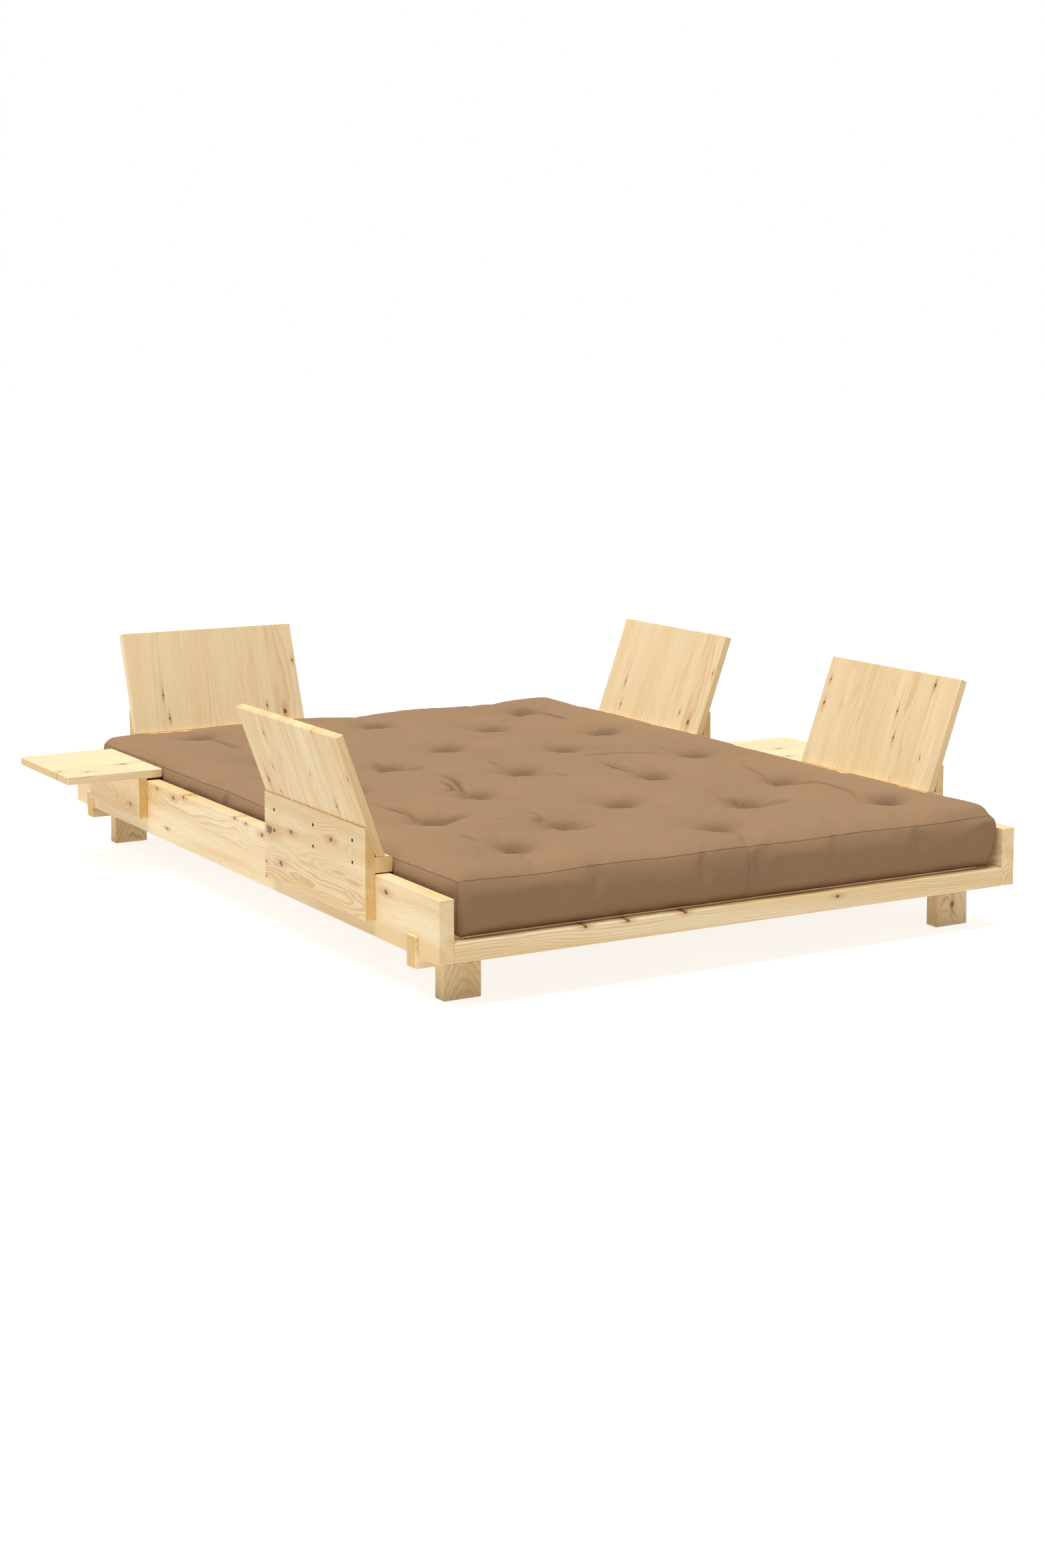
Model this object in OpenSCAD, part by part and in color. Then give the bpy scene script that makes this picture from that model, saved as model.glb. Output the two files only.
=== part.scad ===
// Low double bed frame in solid pine, with a futon mattress, four hang-on backrests
// and two hang-on side tables. Millimetres, +Z up, foot end towards -Y, floor at z = 0.

/* [Frame] */
// Overall width across the two side rails
frame_w = 1500; // [1300:10:1900]
// Overall length from the foot rail's front to the head rail's back
frame_l = 2080; // [2060:5:2200]
// Thickness of all four rails
rail_t = 35; // [30:0.5:40]
// Height of the side rails and the head rail
rail_h = 134; // [125:1:150]
// Height of the low foot rail, whose top is level with the slats
foot_h = 42; // [38:1:50]

/* [Cross beams] */
// Width of each cross beam along the bed
beam_w = 40; // [36:1:50]
// How far the cross beams hang below the rails
beam_drop = 26; // [15:1:35]
// How far the beam ends stand out past the side rails
beam_lug = 6; // [3:0.5:12]
// Distance from each end of the bed to the nearest face of the cross beam
beam_in = 91; // [80:1:110]

/* [Legs] */
// Leg width across the bed
leg_w = 89; // [75:1:110]
// Leg thickness along the bed
leg_t = 38; // [34:0.5:45]
// Leg height from the floor to the beam
leg_h = 77; // [60:1:150]
// Distance from the rail's outer face to the leg
leg_in = 59; // [45:1:100]

/* [Slats] */
// Slat width along the bed
slat_w = 95; // [80:1:110]
// Slat thickness
slat_t = 18; // [15:0.5:20]
// Width of the ledge that carries the slat ends
ledge_w = 30; // [22:1:40]
// Height of that ledge
ledge_h = 22; // [16:1:30]
// Width of the lengthways beam under the middle of the slats
centre_w = 45; // [38:1:60]
// Width of the webbing bands under the slats
band_w = 30; // [20:1:45]

/* [Backrests] */
// Width of a backrest along the rail
back_w = 508; // [400:2:540]
// Thickness of the upright outer board
board_t = 23; // [20:0.5:26]
// Height of the outer board
board_h = 198; // [190:1:205]
// How far the outer boards of backrests and tables stop above the rail's lower edge
board_up = 36; // [30:0.5:42]
// Thickness of the leaning panel
panel_t = 20; // [18:0.5:24]
// Length of the leaning panel up its slope
panel_l = 284; // [240:2:340]
// Lean of the panel away from the mattress, from the vertical
lean = 20; // [15:0.5:25]
// Height of the cleat that lies over the rail
cleat_h = 34; // [28:0.5:40]
// How far the cleat reaches past the rail's inner face
cleat_over = 5.5; // [4:0.5:8]

/* [Side tables] */
// Table length along the rail
table_w = 353; // [300:1:380]
// How far the table top stands out from the rail
table_out = 211; // [160:1:260]
// Thickness of the table top
table_t = 22.5; // [18:0.5:28]
// How far the table top reaches past the rail's inner face
table_over = 6.5; // [6:0.5:9]

/* [Places on the rails] */
// Left rail: share of its free length before the backrest, in percent
left_back_share = 15.9; // [2:0.1:45]
// Left rail: share of its free length after the side table, in percent
left_table_share = 3.2; // [1:0.1:45]
// Right rail: share of its free length before the first backrest, in percent
right_back_share = 34; // [2:0.5:45]
// Right rail: share between that backrest and the side table, in percent
right_table_share = 8.5; // [1:0.5:20]
// Right rail: share between the side table and the far backrest, in percent
far_back_share = 19.5; // [1:0.5:30]
// Head rail: share of its free length before the backrest, in percent
head_back_share = 16.4; // [5:0.1:95]

/* [Futon mattress] */
// Height of the mattress at its side seam
mattress_side = 118; // [90:1:140]
// Rise of the crowned top above the side seam
mattress_crown = 27; // [20:1:40]
// How deep each tuft is drawn into the top
tuft_sink = 16; // [4:1:18]
// Gap between the mattress and each side rail
mattress_gap = 15; // [12:0.5:25]
// Set-back of the mattress from the foot rail's front
mattress_front = 18; // [8:1:30]
// Gap between the mattress and the head rail
mattress_head_gap = 27; // [15:1:40]

/* [Steel hooks] */
// Thickness of the steel angle under each backrest
hook_t = 2.5; // [2:0.1:3]
// Thickness of the steel angle under each table
table_hook_t = 5; // [4:0.1:5.5]
// How far the angles reach down inside the rail
hook_drop = 40; // [30:1:55]

/* [Hidden] */
$fn = 48;
edge = 1.6;
soft_edge = 24;
soft_facets = 24;
joint_gap = 0.15;
hang_gap = 0.3;
skin = 0.1;
slat_count = 10;
slat_end_gap = 2;
ledge_end_gap = 1;
band_t = 1.5;
band_x = frame_w * 0.24;

rail_z = leg_h + beam_drop;
deck_z = rail_z + foot_h;
rail_top = rail_z + rail_h;
beam_h = beam_drop + foot_h;
beam_y = beam_in + beam_w / 2;
lap_h = foot_h / 2;
inner_w = frame_w - 2 * rail_t;
slat_z = deck_z - slat_t;
side_run = frame_l - 2 * (beam_in + beam_w);
slat_gap = (side_run - slat_count * slat_w) / (slat_count + 1);
first_slat = beam_in + beam_w + slat_gap;
slat_run = slat_count * slat_w + (slat_count - 1) * slat_gap;

left_free = side_run - back_w - table_w;
right_free = side_run - 2 * back_w - table_w;
left_back_y = beam_in + beam_w + left_free * left_back_share / 100;
left_table_y = frame_l - beam_in - beam_w - table_w - left_free * left_table_share / 100;
right_back_y = beam_in + beam_w + right_free * right_back_share / 100;
right_table_y = right_back_y + back_w + right_free * right_table_share / 100;
far_back_y = right_table_y + table_w + right_free * far_back_share / 100;
head_back_x = (frame_w - back_w) * head_back_share / 100;

housing_d = 14;
housing_up = 24;

cleat_w = rail_t + cleat_over + hang_gap;
cleat_z = rail_top + hang_gap + hook_t;
cleat_top = cleat_z + cleat_h;
cleat_round = 6;
panel_foot = cleat_w - hang_gap - 15.5;
panel_flat = panel_t / cos(lean);
panel_rise = panel_l * cos(lean);
panel_back = panel_l * sin(lean);
lean_out = panel_back + panel_t * cos(lean) - panel_foot;
board_z = rail_z + board_up;
table_z = rail_top + hang_gap + table_hook_t;

front_y = -(frame_l + lean_out) / 2;

leg_x = frame_w / 2 - leg_in - leg_w / 2;
leg_screw_r = 3;
leg_screw_head_r = 5.5;
leg_screw_head_t = 4;
leg_screw_l = beam_h + 40;
leg_screw_dx = 25;
sink = 0.5;

ledge_screw_r = 2.5;
ledge_screw_head_r = 4.5;
ledge_screw_head_t = 3;
ledge_screw_l = ledge_w + 20;
ledge_screw_count = 6;

bracket_leg = 36;
bracket_t = 3;
bracket_h = 30;
bracket_up = 6;
bracket_screw_r = 2;
bracket_screw_head_r = 4;
bracket_screw_head_t = 2.2;
bracket_screw_l = 20;
bracket_screw_in = 22;
bracket_screw_z = [8, 22];

back_screw_r = 2.5;
back_screw_head_r = 4.4;
back_screw_head_t = 3;
back_screw_l = 31;
back_screw_sink = 1;
back_screw_foot_side = 61;
back_screw_head_side = 51;
back_screw_cleat_z = cleat_z + 14.5;
back_screw_panel_z = cleat_top + 28;
socket_r = 2.3;
socket_d = 2;
socket_facets = 6;

hook_screw_r = 1.8;
hook_screw_head_r = 3.6;
hook_screw_head_t = 1.6;
hook_screw_l = 17;
hook_screw_in = 50;
hook_screw_x = 18;
hook_end = 2;

mattress_half = inner_w / 2 - mattress_gap;
mattress_end = frame_l - rail_t - mattress_head_gap;
crown_in = 60;
tuft_rows = 9;
tuft_r = 60;
tuft_facets = 12;
tuft_in_x = 215;
tuft_in_y = 155;
tuft_step_x = (2 * mattress_half - 2 * tuft_in_x) / 4;
tuft_step_y = (mattress_end - mattress_front - 2 * tuft_in_y - 50) / (tuft_rows - 1);

dowel_r = 4;
dowel_l = 36;
dowel_up = 14;
dowel_in = 45;
dowel_count = 4;
bore_gap = 0.1;

// ---- shared helpers ----

module pine() {
    color("#ecd3a0") children();
}

module steel() {
    color("#a8abad") children();
}

module black_steel() {
    color("#1d1b1a") children();
}

// Everything is drawn with the foot rail's front at y = 0, then moved to centre the box.
module on_bed() {
    translate([0, front_y, 0]) children();
}

// A profile with its corners eased by the given leg.
module eased_profile(points, leg) {
    reach = leg * (1 + sqrt(1 / 2));
    offset(delta = reach, chamfer = true) offset(delta = -reach) polygon(points);
}

// A board along +Z with every edge eased.
module eased(points, length, leg = edge) {
    hull() {
        translate([0, 0, leg]) linear_extrude(length - 2 * leg) eased_profile(points, leg);
        linear_extrude(length) offset(delta = -leg) eased_profile(points, leg);
    }
}

// A squared board centred on x, from y0 and z0.
module timber(size_x, size_y, size_z, leg = edge) {
    half = size_x / 2;
    eased([[-half, 0], [half, 0], [half, size_y], [-half, size_y]], size_z, leg);
}

// Stands a profile drawn as [inward, up] along the rail, starting at y = 0.
module along_rail(length) {
    translate([0, length, 0]) rotate([90, 0, 0]) children();
}

module screw(r, head_r, head_t, length) {
    cylinder(r = head_r, h = head_t);
    cylinder(r = r, h = length);
}

module screw_bore(r, head_r, head_t, length) {
    translate([0, 0, -sink - head_t]) cylinder(r = head_r + bore_gap, h = sink + 2 * head_t);
    cylinder(r = r + bore_gap, h = length + sink);
}

// ---- frame timbers ----

module rail_notches() {
    for (y = [beam_in, frame_l - beam_in - beam_w])
        translate([-rail_t, y - joint_gap, rail_z - lap_h])
            cube([2 * rail_t, beam_w + 2 * joint_gap, 2 * lap_h]);
}

module side_rail(side) {
    pine() on_bed() difference() {
        translate([side * (frame_w - rail_t) / 2, 0, 0]) difference() {
            translate([0, 0, rail_z]) timber(rail_t, frame_l, rail_h);
            rail_notches();
        }
        ledge_screw_places(side) ledge_screw_bore();
        bracket_places() bracket_screw_places() bracket_screw_bore();
    }
}

module left_side_rail() {
    side_rail(-1);
}

module right_side_rail() {
    side_rail(1);
}

module foot_rail() {
    pine() on_bed() difference() {
        translate([0, 0, rail_z]) timber(inner_w, rail_t, foot_h);
        bracket_places() bracket_screw_places() bracket_screw_bore();
    }
}

module head_rail() {
    pine() on_bed() difference() {
        translate([0, frame_l - rail_t, rail_z]) timber(inner_w, rail_t, rail_h);
        bracket_places() bracket_screw_places() bracket_screw_bore();
    }
}

// Turns the head end's pieces from the foot end's by a half turn about the bed's middle.
module at_end(head) {
    if (head) {
        translate([0, frame_l, 0]) rotate([0, 0, 180]) children();
    } else {
        children();
    }
}

module cross_beam(head) {
    pine() on_bed() at_end(head) difference() {
        translate([0, beam_in, leg_h]) timber(frame_w + 2 * beam_lug, beam_w, beam_h);
        for (side = [-1, 1])
            translate([side * (frame_w - rail_t) / 2, beam_y, rail_z + lap_h + foot_h / 2])
                cube([rail_t + 2 * joint_gap, 2 * beam_w, foot_h], center = true);
        translate([-centre_w / 2 - joint_gap, beam_in + beam_w - housing_d, leg_h + housing_up])
            cube([centre_w + 2 * joint_gap, 2 * housing_d, beam_h]);
        for (side = [-1, 1])
            leg_screw_pair(side * leg_x, deck_z) leg_screw_bore();
    }
}

module foot_cross_beam() {
    cross_beam(false);
}

module head_cross_beam() {
    cross_beam(true);
}

module centre_beam() {
    pine() on_bed() difference() {
        translate([0, beam_in + beam_w - housing_d + joint_gap, leg_h])
            timber(centre_w, side_run + 2 * (housing_d - joint_gap), slat_z - leg_h);
        for (y = [beam_in, frame_l - beam_in - beam_w])
            translate([-centre_w, y - joint_gap, leg_h - housing_up])
                cube([2 * centre_w, beam_w + 2 * joint_gap, 2 * housing_up]);
        centre_leg_screw_pair() leg_screw_bore();
    }
}

// ---- legs ----

module leg_block(x, y) {
    translate([x, y - leg_t / 2, 0]) timber(leg_w, leg_t, leg_h);
}

module leg_screw_pair(x, top) {
    for (dx = [-leg_screw_dx, leg_screw_dx])
        translate([x + dx, beam_y, top - sink]) rotate([180, 0, 0]) children();
}

module centre_leg_screw_pair() {
    translate([0, frame_l / 2 - beam_y, 0]) leg_screw_pair(0, slat_z) children();
}

module leg_screw_bore() {
    screw_bore(leg_screw_r, leg_screw_head_r, leg_screw_head_t, leg_screw_l);
}

module corner_leg(head, side) {
    pine() on_bed() at_end(head) difference() {
        leg_block(side * leg_x, beam_y);
        leg_screw_pair(side * leg_x, deck_z) leg_screw_bore();
    }
}

module foot_left_leg() {
    corner_leg(false, -1);
}

module foot_right_leg() {
    corner_leg(false, 1);
}

module head_left_leg() {
    corner_leg(true, 1);
}

module head_right_leg() {
    corner_leg(true, -1);
}

module centre_leg() {
    pine() on_bed() difference() {
        leg_block(0, frame_l / 2);
        centre_leg_screw_pair() leg_screw_bore();
    }
}

module leg_screw() {
    screw(leg_screw_r, leg_screw_head_r, leg_screw_head_t, leg_screw_l);
}

module leg_screws() {
    steel() on_bed() {
        for (head = [false, true], side = [-1, 1])
            at_end(head) leg_screw_pair(side * leg_x, deck_z) leg_screw();
        centre_leg_screw_pair() leg_screw();
    }
}

// ---- slats and their ledges ----

// Ledge screws go outwards through the ledge into the rail.
module ledge_screw_places(side) {
    reach = side_run - 2 * ledge_w;
    for (i = [0 : ledge_screw_count - 1])
        translate([
            side * (inner_w / 2 - ledge_w + sink),
            beam_in + beam_w + ledge_w + reach * i / (ledge_screw_count - 1),
            slat_z - ledge_h / 2
        ])
            rotate([0, side * 90, 0]) children();
}

module ledge_screw_bore() {
    screw_bore(ledge_screw_r, ledge_screw_head_r, ledge_screw_head_t, ledge_screw_l);
}

module slat_ledge(side) {
    pine() on_bed() difference() {
        translate([
            side * (inner_w - ledge_w) / 2,
            beam_in + beam_w + ledge_end_gap,
            slat_z - ledge_h
        ])
            timber(ledge_w, side_run - 2 * ledge_end_gap, ledge_h);
        ledge_screw_places(side) ledge_screw_bore();
    }
}

module left_slat_ledge() {
    slat_ledge(-1);
}

module right_slat_ledge() {
    slat_ledge(1);
}

module ledge_screws() {
    steel() on_bed()
        for (side = [-1, 1])
            ledge_screw_places(side)
                screw(ledge_screw_r, ledge_screw_head_r, ledge_screw_head_t, ledge_screw_l);
}

module slat(number) {
    pine() on_bed()
        translate([0, first_slat + (number - 1) * (slat_w + slat_gap), slat_z])
            timber(inner_w - 2 * slat_end_gap, slat_w, slat_t);
}

module slat_webbing() {
    color("#e9e4d8") on_bed()
        for (side = [-1, 1])
            translate([side * band_x - band_w / 2, first_slat, slat_z - band_t])
                cube([band_w, slat_run, band_t]);
}

// ---- corner brackets ----

module bracket_places() {
    for (head = [false, true], side = [0, 1])
        at_end(head) mirror([side, 0, 0])
            translate([-inner_w / 2, rail_t, rail_z + bracket_up]) children();
}

// Each bracket has two screws into the end rail and two into the side rail.
module bracket_screw_places() {
    for (z = bracket_screw_z) {
        translate([bracket_screw_in, bracket_t + bracket_screw_head_t, z])
            rotate([90, 0, 0]) children();
        translate([bracket_t + bracket_screw_head_t, bracket_screw_in, z])
            rotate([0, -90, 0]) children();
    }
}

module bracket_screw_bore() {
    cylinder(r = bracket_screw_r + bore_gap, h = bracket_screw_l + sink);
}

module corner_brackets() {
    steel() on_bed() bracket_places() difference() {
        linear_extrude(bracket_h) union() {
            square([bracket_leg, bracket_t]);
            square([bracket_t, bracket_leg]);
        }
        bracket_screw_places() bracket_screw_bore();
    }
}

module bracket_screws() {
    steel() on_bed() bracket_places() bracket_screw_places()
        screw(bracket_screw_r, bracket_screw_head_r, bracket_screw_head_t, bracket_screw_l);
}

// ---- places of the hang-on units: x inwards from the rail's outer face, y along the rail ----

module on_left_rail(y) {
    on_bed() translate([-frame_w / 2, y, 0]) children();
}

module on_right_rail(y) {
    on_bed() mirror([1, 0, 0]) translate([-frame_w / 2, y, 0]) children();
}

module on_head_rail(x) {
    on_bed() translate([x - frame_w / 2, frame_l, 0]) rotate([0, 0, -90]) children();
}

module at_left_back() {
    on_left_rail(left_back_y) children();
}

module at_right_back() {
    on_right_rail(right_back_y) children();
}

module at_far_back() {
    on_right_rail(far_back_y) children();
}

module at_head_back() {
    on_head_rail(head_back_x) children();
}

module at_left_table() {
    on_left_rail(left_table_y) children();
}

module at_right_table() {
    on_right_rail(right_table_y) children();
}

// ---- backrest pieces ----

module back_screw_places() {
    for (y = [back_screw_foot_side, back_w / 2, back_w - back_screw_head_side])
        for (z = [back_screw_cleat_z, back_screw_panel_z])
            translate([-hang_gap - board_t + back_screw_sink, y, z]) rotate([0, 90, 0]) children();
}

module back_screw_bore() {
    mouth = back_screw_head_t + 2 * back_screw_sink;
    translate([0, 0, back_screw_head_t - mouth])
        cylinder(r = back_screw_head_r + bore_gap, h = mouth);
    cylinder(r = back_screw_r + bore_gap, h = back_screw_l + sink);
}

// Inward distance of the panel's outer face at a height.
function panel_outer(z) = panel_foot - panel_flat - (z - cleat_top) * tan(lean);

module back_board() {
    inner = -hang_gap;
    board_top = board_z + board_h;
    bevel_z = cleat_top + (panel_foot - panel_flat - skin - inner) / tan(lean);
    pine() difference() {
        along_rail(back_w) eased([
            [inner - board_t, board_z],
            [inner, board_z],
            [inner, bevel_z],
            [panel_outer(board_top) - skin, board_top],
            [inner - board_t, board_top]
        ], back_w, edge / 2);
        back_screw_places() back_screw_bore();
    }
}

module back_cleat() {
    inner_x = cleat_w - hang_gap;
    pine() difference() {
        along_rail(back_w) linear_extrude(back_w) union() {
            translate([-hang_gap, cleat_z]) square([cleat_w - cleat_round, cleat_h]);
            translate([0, cleat_z]) square([inner_x, cleat_h - cleat_round]);
            translate([inner_x - cleat_round, cleat_top - cleat_round]) circle(r = cleat_round);
        }
        back_screw_places() back_screw_bore();
        hook_screw_places(back_w) hook_screw_bore();
    }
}

module back_panel() {
    pine() difference() {
        along_rail(back_w) eased([
            [panel_foot - panel_flat, cleat_top],
            [panel_foot, cleat_top],
            [panel_foot - panel_back, cleat_top + panel_rise],
            [
                panel_foot - panel_back - panel_t * cos(lean),
                cleat_top + panel_rise - panel_t * sin(lean)
            ]
        ], back_w, edge);
        back_screw_places() back_screw_bore();
    }
}

module back_screws() {
    black_steel() {
        back_screw_places() difference() {
            screw(back_screw_r, back_screw_head_r, back_screw_head_t, back_screw_l);
            translate([0, 0, -socket_d])
                cylinder(r = socket_r, h = 2 * socket_d, $fn = socket_facets);
        }
        hook_screw_places(back_w) hook_screw();
    }
}

// ---- steel angle hooks, shared by backrests and tables ----

module hook_screw_places(length) {
    for (y = [hook_screw_in, length / 2, length - hook_screw_in])
        translate([hook_screw_x, y, rail_top + hang_gap]) children();
}

module hook_screw() {
    screw(hook_screw_r, hook_screw_head_r, hook_screw_head_t, hook_screw_l);
}

module hook_screw_bore() {
    screw_bore(hook_screw_r, hook_screw_head_r, hook_screw_head_t, hook_screw_l);
}

module hook_angle(length, thick) {
    low = rail_top + hang_gap;
    inner = rail_t + hang_gap;
    black_steel() difference() {
        translate([0, hook_end, 0]) along_rail(length - 2 * hook_end)
            linear_extrude(length - 2 * hook_end) union() {
                translate([hook_end, low]) square([inner + thick - hook_end, thick]);
                translate([inner, low + thick - hook_drop]) square([thick, hook_drop]);
            }
        hook_screw_places(length) hook_screw_bore();
    }
}

// ---- table pieces ----

module dowel_places() {
    step = (table_w - 2 * dowel_in) / (dowel_count - 1);
    for (i = [0 : dowel_count - 1])
        translate([-hang_gap - board_t / 2, dowel_in + i * step, table_z + dowel_up - dowel_l])
            children();
}

module dowel_bore() {
    translate([0, 0, -sink]) cylinder(r = dowel_r + bore_gap, h = dowel_l + 2 * sink);
}

module table_top() {
    pine() difference() {
        translate([0, table_w, 0]) rotate([90, 0, 0]) eased([
            [-table_out, table_z],
            [rail_t + table_over, table_z],
            [rail_t + table_over, table_z + table_t],
            [-table_out, table_z + table_t]
        ], table_w, edge * 1.5);
        dowel_places() dowel_bore();
        hook_screw_places(table_w) hook_screw_bore();
    }
}

module table_board() {
    pine() difference() {
        along_rail(table_w) eased([
            [-hang_gap - board_t, board_z],
            [-hang_gap, board_z],
            [-hang_gap, table_z],
            [-hang_gap - board_t, table_z]
        ], table_w, edge / 2);
        dowel_places() dowel_bore();
    }
}

module table_screws() {
    black_steel() hook_screw_places(table_w) hook_screw();
}

module table_dowels() {
    color("#d9b983") dowel_places() cylinder(r = dowel_r, h = dowel_l);
}

// ---- futon mattress: a boxed cushion with a crowned, tufted top ----

// Stands its children at the four corners of the mattress, drawn in by the given reach.
module mattress_corners(reach) {
    for (x = [-mattress_half + reach, mattress_half - reach])
        for (y = [mattress_front + reach, mattress_end - reach])
            translate([x, y, deck_z]) children();
}

// Rows of three tufts and rows of two take turns up the mattress.
module tuft_places() {
    for (row = [0 : tuft_rows - 1])
        for (i = [0 : 2 - row % 2])
            translate([
                -mattress_half + tuft_in_x + (2 * i + row % 2) * tuft_step_x,
                mattress_front + tuft_in_y + row * tuft_step_y,
                deck_z + mattress_side + mattress_crown
            ])
                children();
}

module mattress() {
    color("#9a7a5c") on_bed() difference() {
        hull() {
            mattress_corners(soft_edge) {
                translate([0, 0, soft_edge]) {
                    sphere(r = soft_edge, $fn = soft_facets);
                    cylinder(r = soft_edge, h = mattress_side - soft_edge, $fn = soft_facets);
                }
            }
            mattress_corners(soft_edge + crown_in / 3)
                cylinder(r = soft_edge, h = mattress_side + mattress_crown * 2 / 3, $fn = soft_facets);
            mattress_corners(soft_edge + crown_in)
                cylinder(r = soft_edge, h = mattress_side + mattress_crown, $fn = soft_facets);
        }
        tuft_places() translate([0, 0, -tuft_sink])
            cylinder(r1 = tuft_r / 6, r2 = tuft_r, h = tuft_sink + joint_gap, $fn = tuft_facets);
    }
}

// ---- build ----

left_side_rail();
right_side_rail();
foot_rail();
head_rail();
foot_cross_beam();
head_cross_beam();
centre_beam();
foot_left_leg();
foot_right_leg();
head_left_leg();
head_right_leg();
centre_leg();
left_slat_ledge();
right_slat_ledge();
slat(1);  // slat_01
slat(2);  // slat_02
slat(3);  // slat_03
slat(4);  // slat_04
slat(5);  // slat_05
slat(6);  // slat_06
slat(7);  // slat_07
slat(8);  // slat_08
slat(9);  // slat_09
slat(10);  // slat_10
slat_webbing();
corner_brackets();
bracket_screws();
leg_screws();
ledge_screws();
mattress();
at_left_back() back_board();  // left_back_board
at_left_back() back_cleat();  // left_back_cleat
at_left_back() back_panel();  // left_back_panel
at_left_back() hook_angle(back_w, hook_t);  // left_back_hook
at_left_back() back_screws();  // left_back_screws
at_right_back() back_board();  // right_back_board
at_right_back() back_cleat();  // right_back_cleat
at_right_back() back_panel();  // right_back_panel
at_right_back() hook_angle(back_w, hook_t);  // right_back_hook
at_right_back() back_screws();  // right_back_screws
at_far_back() back_board();  // far_back_board
at_far_back() back_cleat();  // far_back_cleat
at_far_back() back_panel();  // far_back_panel
at_far_back() hook_angle(back_w, hook_t);  // far_back_hook
at_far_back() back_screws();  // far_back_screws
at_head_back() back_board();  // head_back_board
at_head_back() back_cleat();  // head_back_cleat
at_head_back() back_panel();  // head_back_panel
at_head_back() hook_angle(back_w, hook_t);  // head_back_hook
at_head_back() back_screws();  // head_back_screws
at_left_table() table_top();  // left_table_top
at_left_table() table_board();  // left_table_board
at_left_table() hook_angle(table_w, table_hook_t);  // left_table_hook
at_left_table() table_screws();  // left_table_screws
at_left_table() table_dowels();  // left_table_dowels
at_right_table() table_top();  // right_table_top
at_right_table() table_board();  // right_table_board
at_right_table() hook_angle(table_w, table_hook_t);  // right_table_hook
at_right_table() table_screws();  // right_table_screws
at_right_table() table_dowels();  // right_table_dowels
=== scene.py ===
import math

import bmesh
import bpy
import numpy as np
from mathutils import Matrix, Vector


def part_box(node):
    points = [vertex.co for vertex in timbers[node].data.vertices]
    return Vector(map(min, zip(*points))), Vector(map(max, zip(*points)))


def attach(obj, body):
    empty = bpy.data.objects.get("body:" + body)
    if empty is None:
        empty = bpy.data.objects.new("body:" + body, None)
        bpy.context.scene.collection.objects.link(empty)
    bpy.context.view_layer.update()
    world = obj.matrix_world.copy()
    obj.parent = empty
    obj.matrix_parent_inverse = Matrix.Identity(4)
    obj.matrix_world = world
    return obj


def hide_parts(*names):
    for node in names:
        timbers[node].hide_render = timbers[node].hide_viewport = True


bl_info = {
    "name": "Low pine bed frame with futon",
    "version": (1, 0, 0),
    "blender": (4, 5, 0),
    "location": "3D View > Sidebar > Pine Bed",
    "description": "Dresses the packed bed frame in lacquered pine, steel, tape and a tufted futon",
    "category": "Object",
}

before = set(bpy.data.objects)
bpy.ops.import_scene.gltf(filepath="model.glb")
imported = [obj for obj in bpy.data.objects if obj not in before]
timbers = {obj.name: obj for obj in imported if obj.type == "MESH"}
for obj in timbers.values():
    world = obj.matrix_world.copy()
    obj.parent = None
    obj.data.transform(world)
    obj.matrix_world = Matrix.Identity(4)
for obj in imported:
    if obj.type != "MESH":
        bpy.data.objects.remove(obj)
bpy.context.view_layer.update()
render_levels = 1


def to_linear(hex_colour):
    """sRGB hex to linear RGBA: c/12.92 below 0.04045, else ((c + 0.055)/1.055)^2.4."""
    c = np.array([int(hex_colour[i : i + 2], 16) for i in (1, 3, 5)]) / 255.0
    return (*np.where(c <= 0.04045, c / 12.92, ((c + 0.055) / 1.055) ** 2.4).tolist(), 1.0)


# ---- sizes and colours a user would change ----

COLOUR = dict(subtype="COLOR", size=4, min=0.0, max=1.0)
LENGTH = dict(subtype="DISTANCE", unit="LENGTH", min=0.0)


class PineFinish(bpy.types.PropertyGroup):
    """Clear-lacquered Nordic pine."""

    sapwood: bpy.props.FloatVectorProperty(
        name="Sapwood", description="Pale wood between the rings",
        default=to_linear("#FEE6B9"), **COLOUR)
    heartwood: bpy.props.FloatVectorProperty(
        name="Heartwood", description="Warmer bands", default=to_linear("#F2D096"), **COLOUR)
    latewood: bpy.props.FloatVectorProperty(
        name="Latewood", description="Dark edge of each ring",
        default=to_linear("#BC8642"), **COLOUR)
    knot: bpy.props.FloatVectorProperty(
        name="Knot", description="Core of a knot", default=to_linear("#78461C"), **COLOUR)
    knot_halo: bpy.props.FloatVectorProperty(
        name="Knot halo", description="Resin-rich wood round a knot",
        default=to_linear("#C4873F"), **COLOUR)
    end_grain: bpy.props.FloatVectorProperty(
        name="End grain", description="Sawn ends, which drink the lacquer",
        default=to_linear("#EBD69C"), **COLOUR)
    ring_gap: bpy.props.FloatProperty(
        name="Ring spacing", description="Width of one year ring, mm",
        default=5.2, min=1.0, max=12.0)
    lacquer: bpy.props.FloatProperty(
        name="Lacquer roughness", description="0 is gloss, 1 is bare wood",
        default=0.46, min=0.1, max=1.0, subtype="FACTOR")


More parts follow.
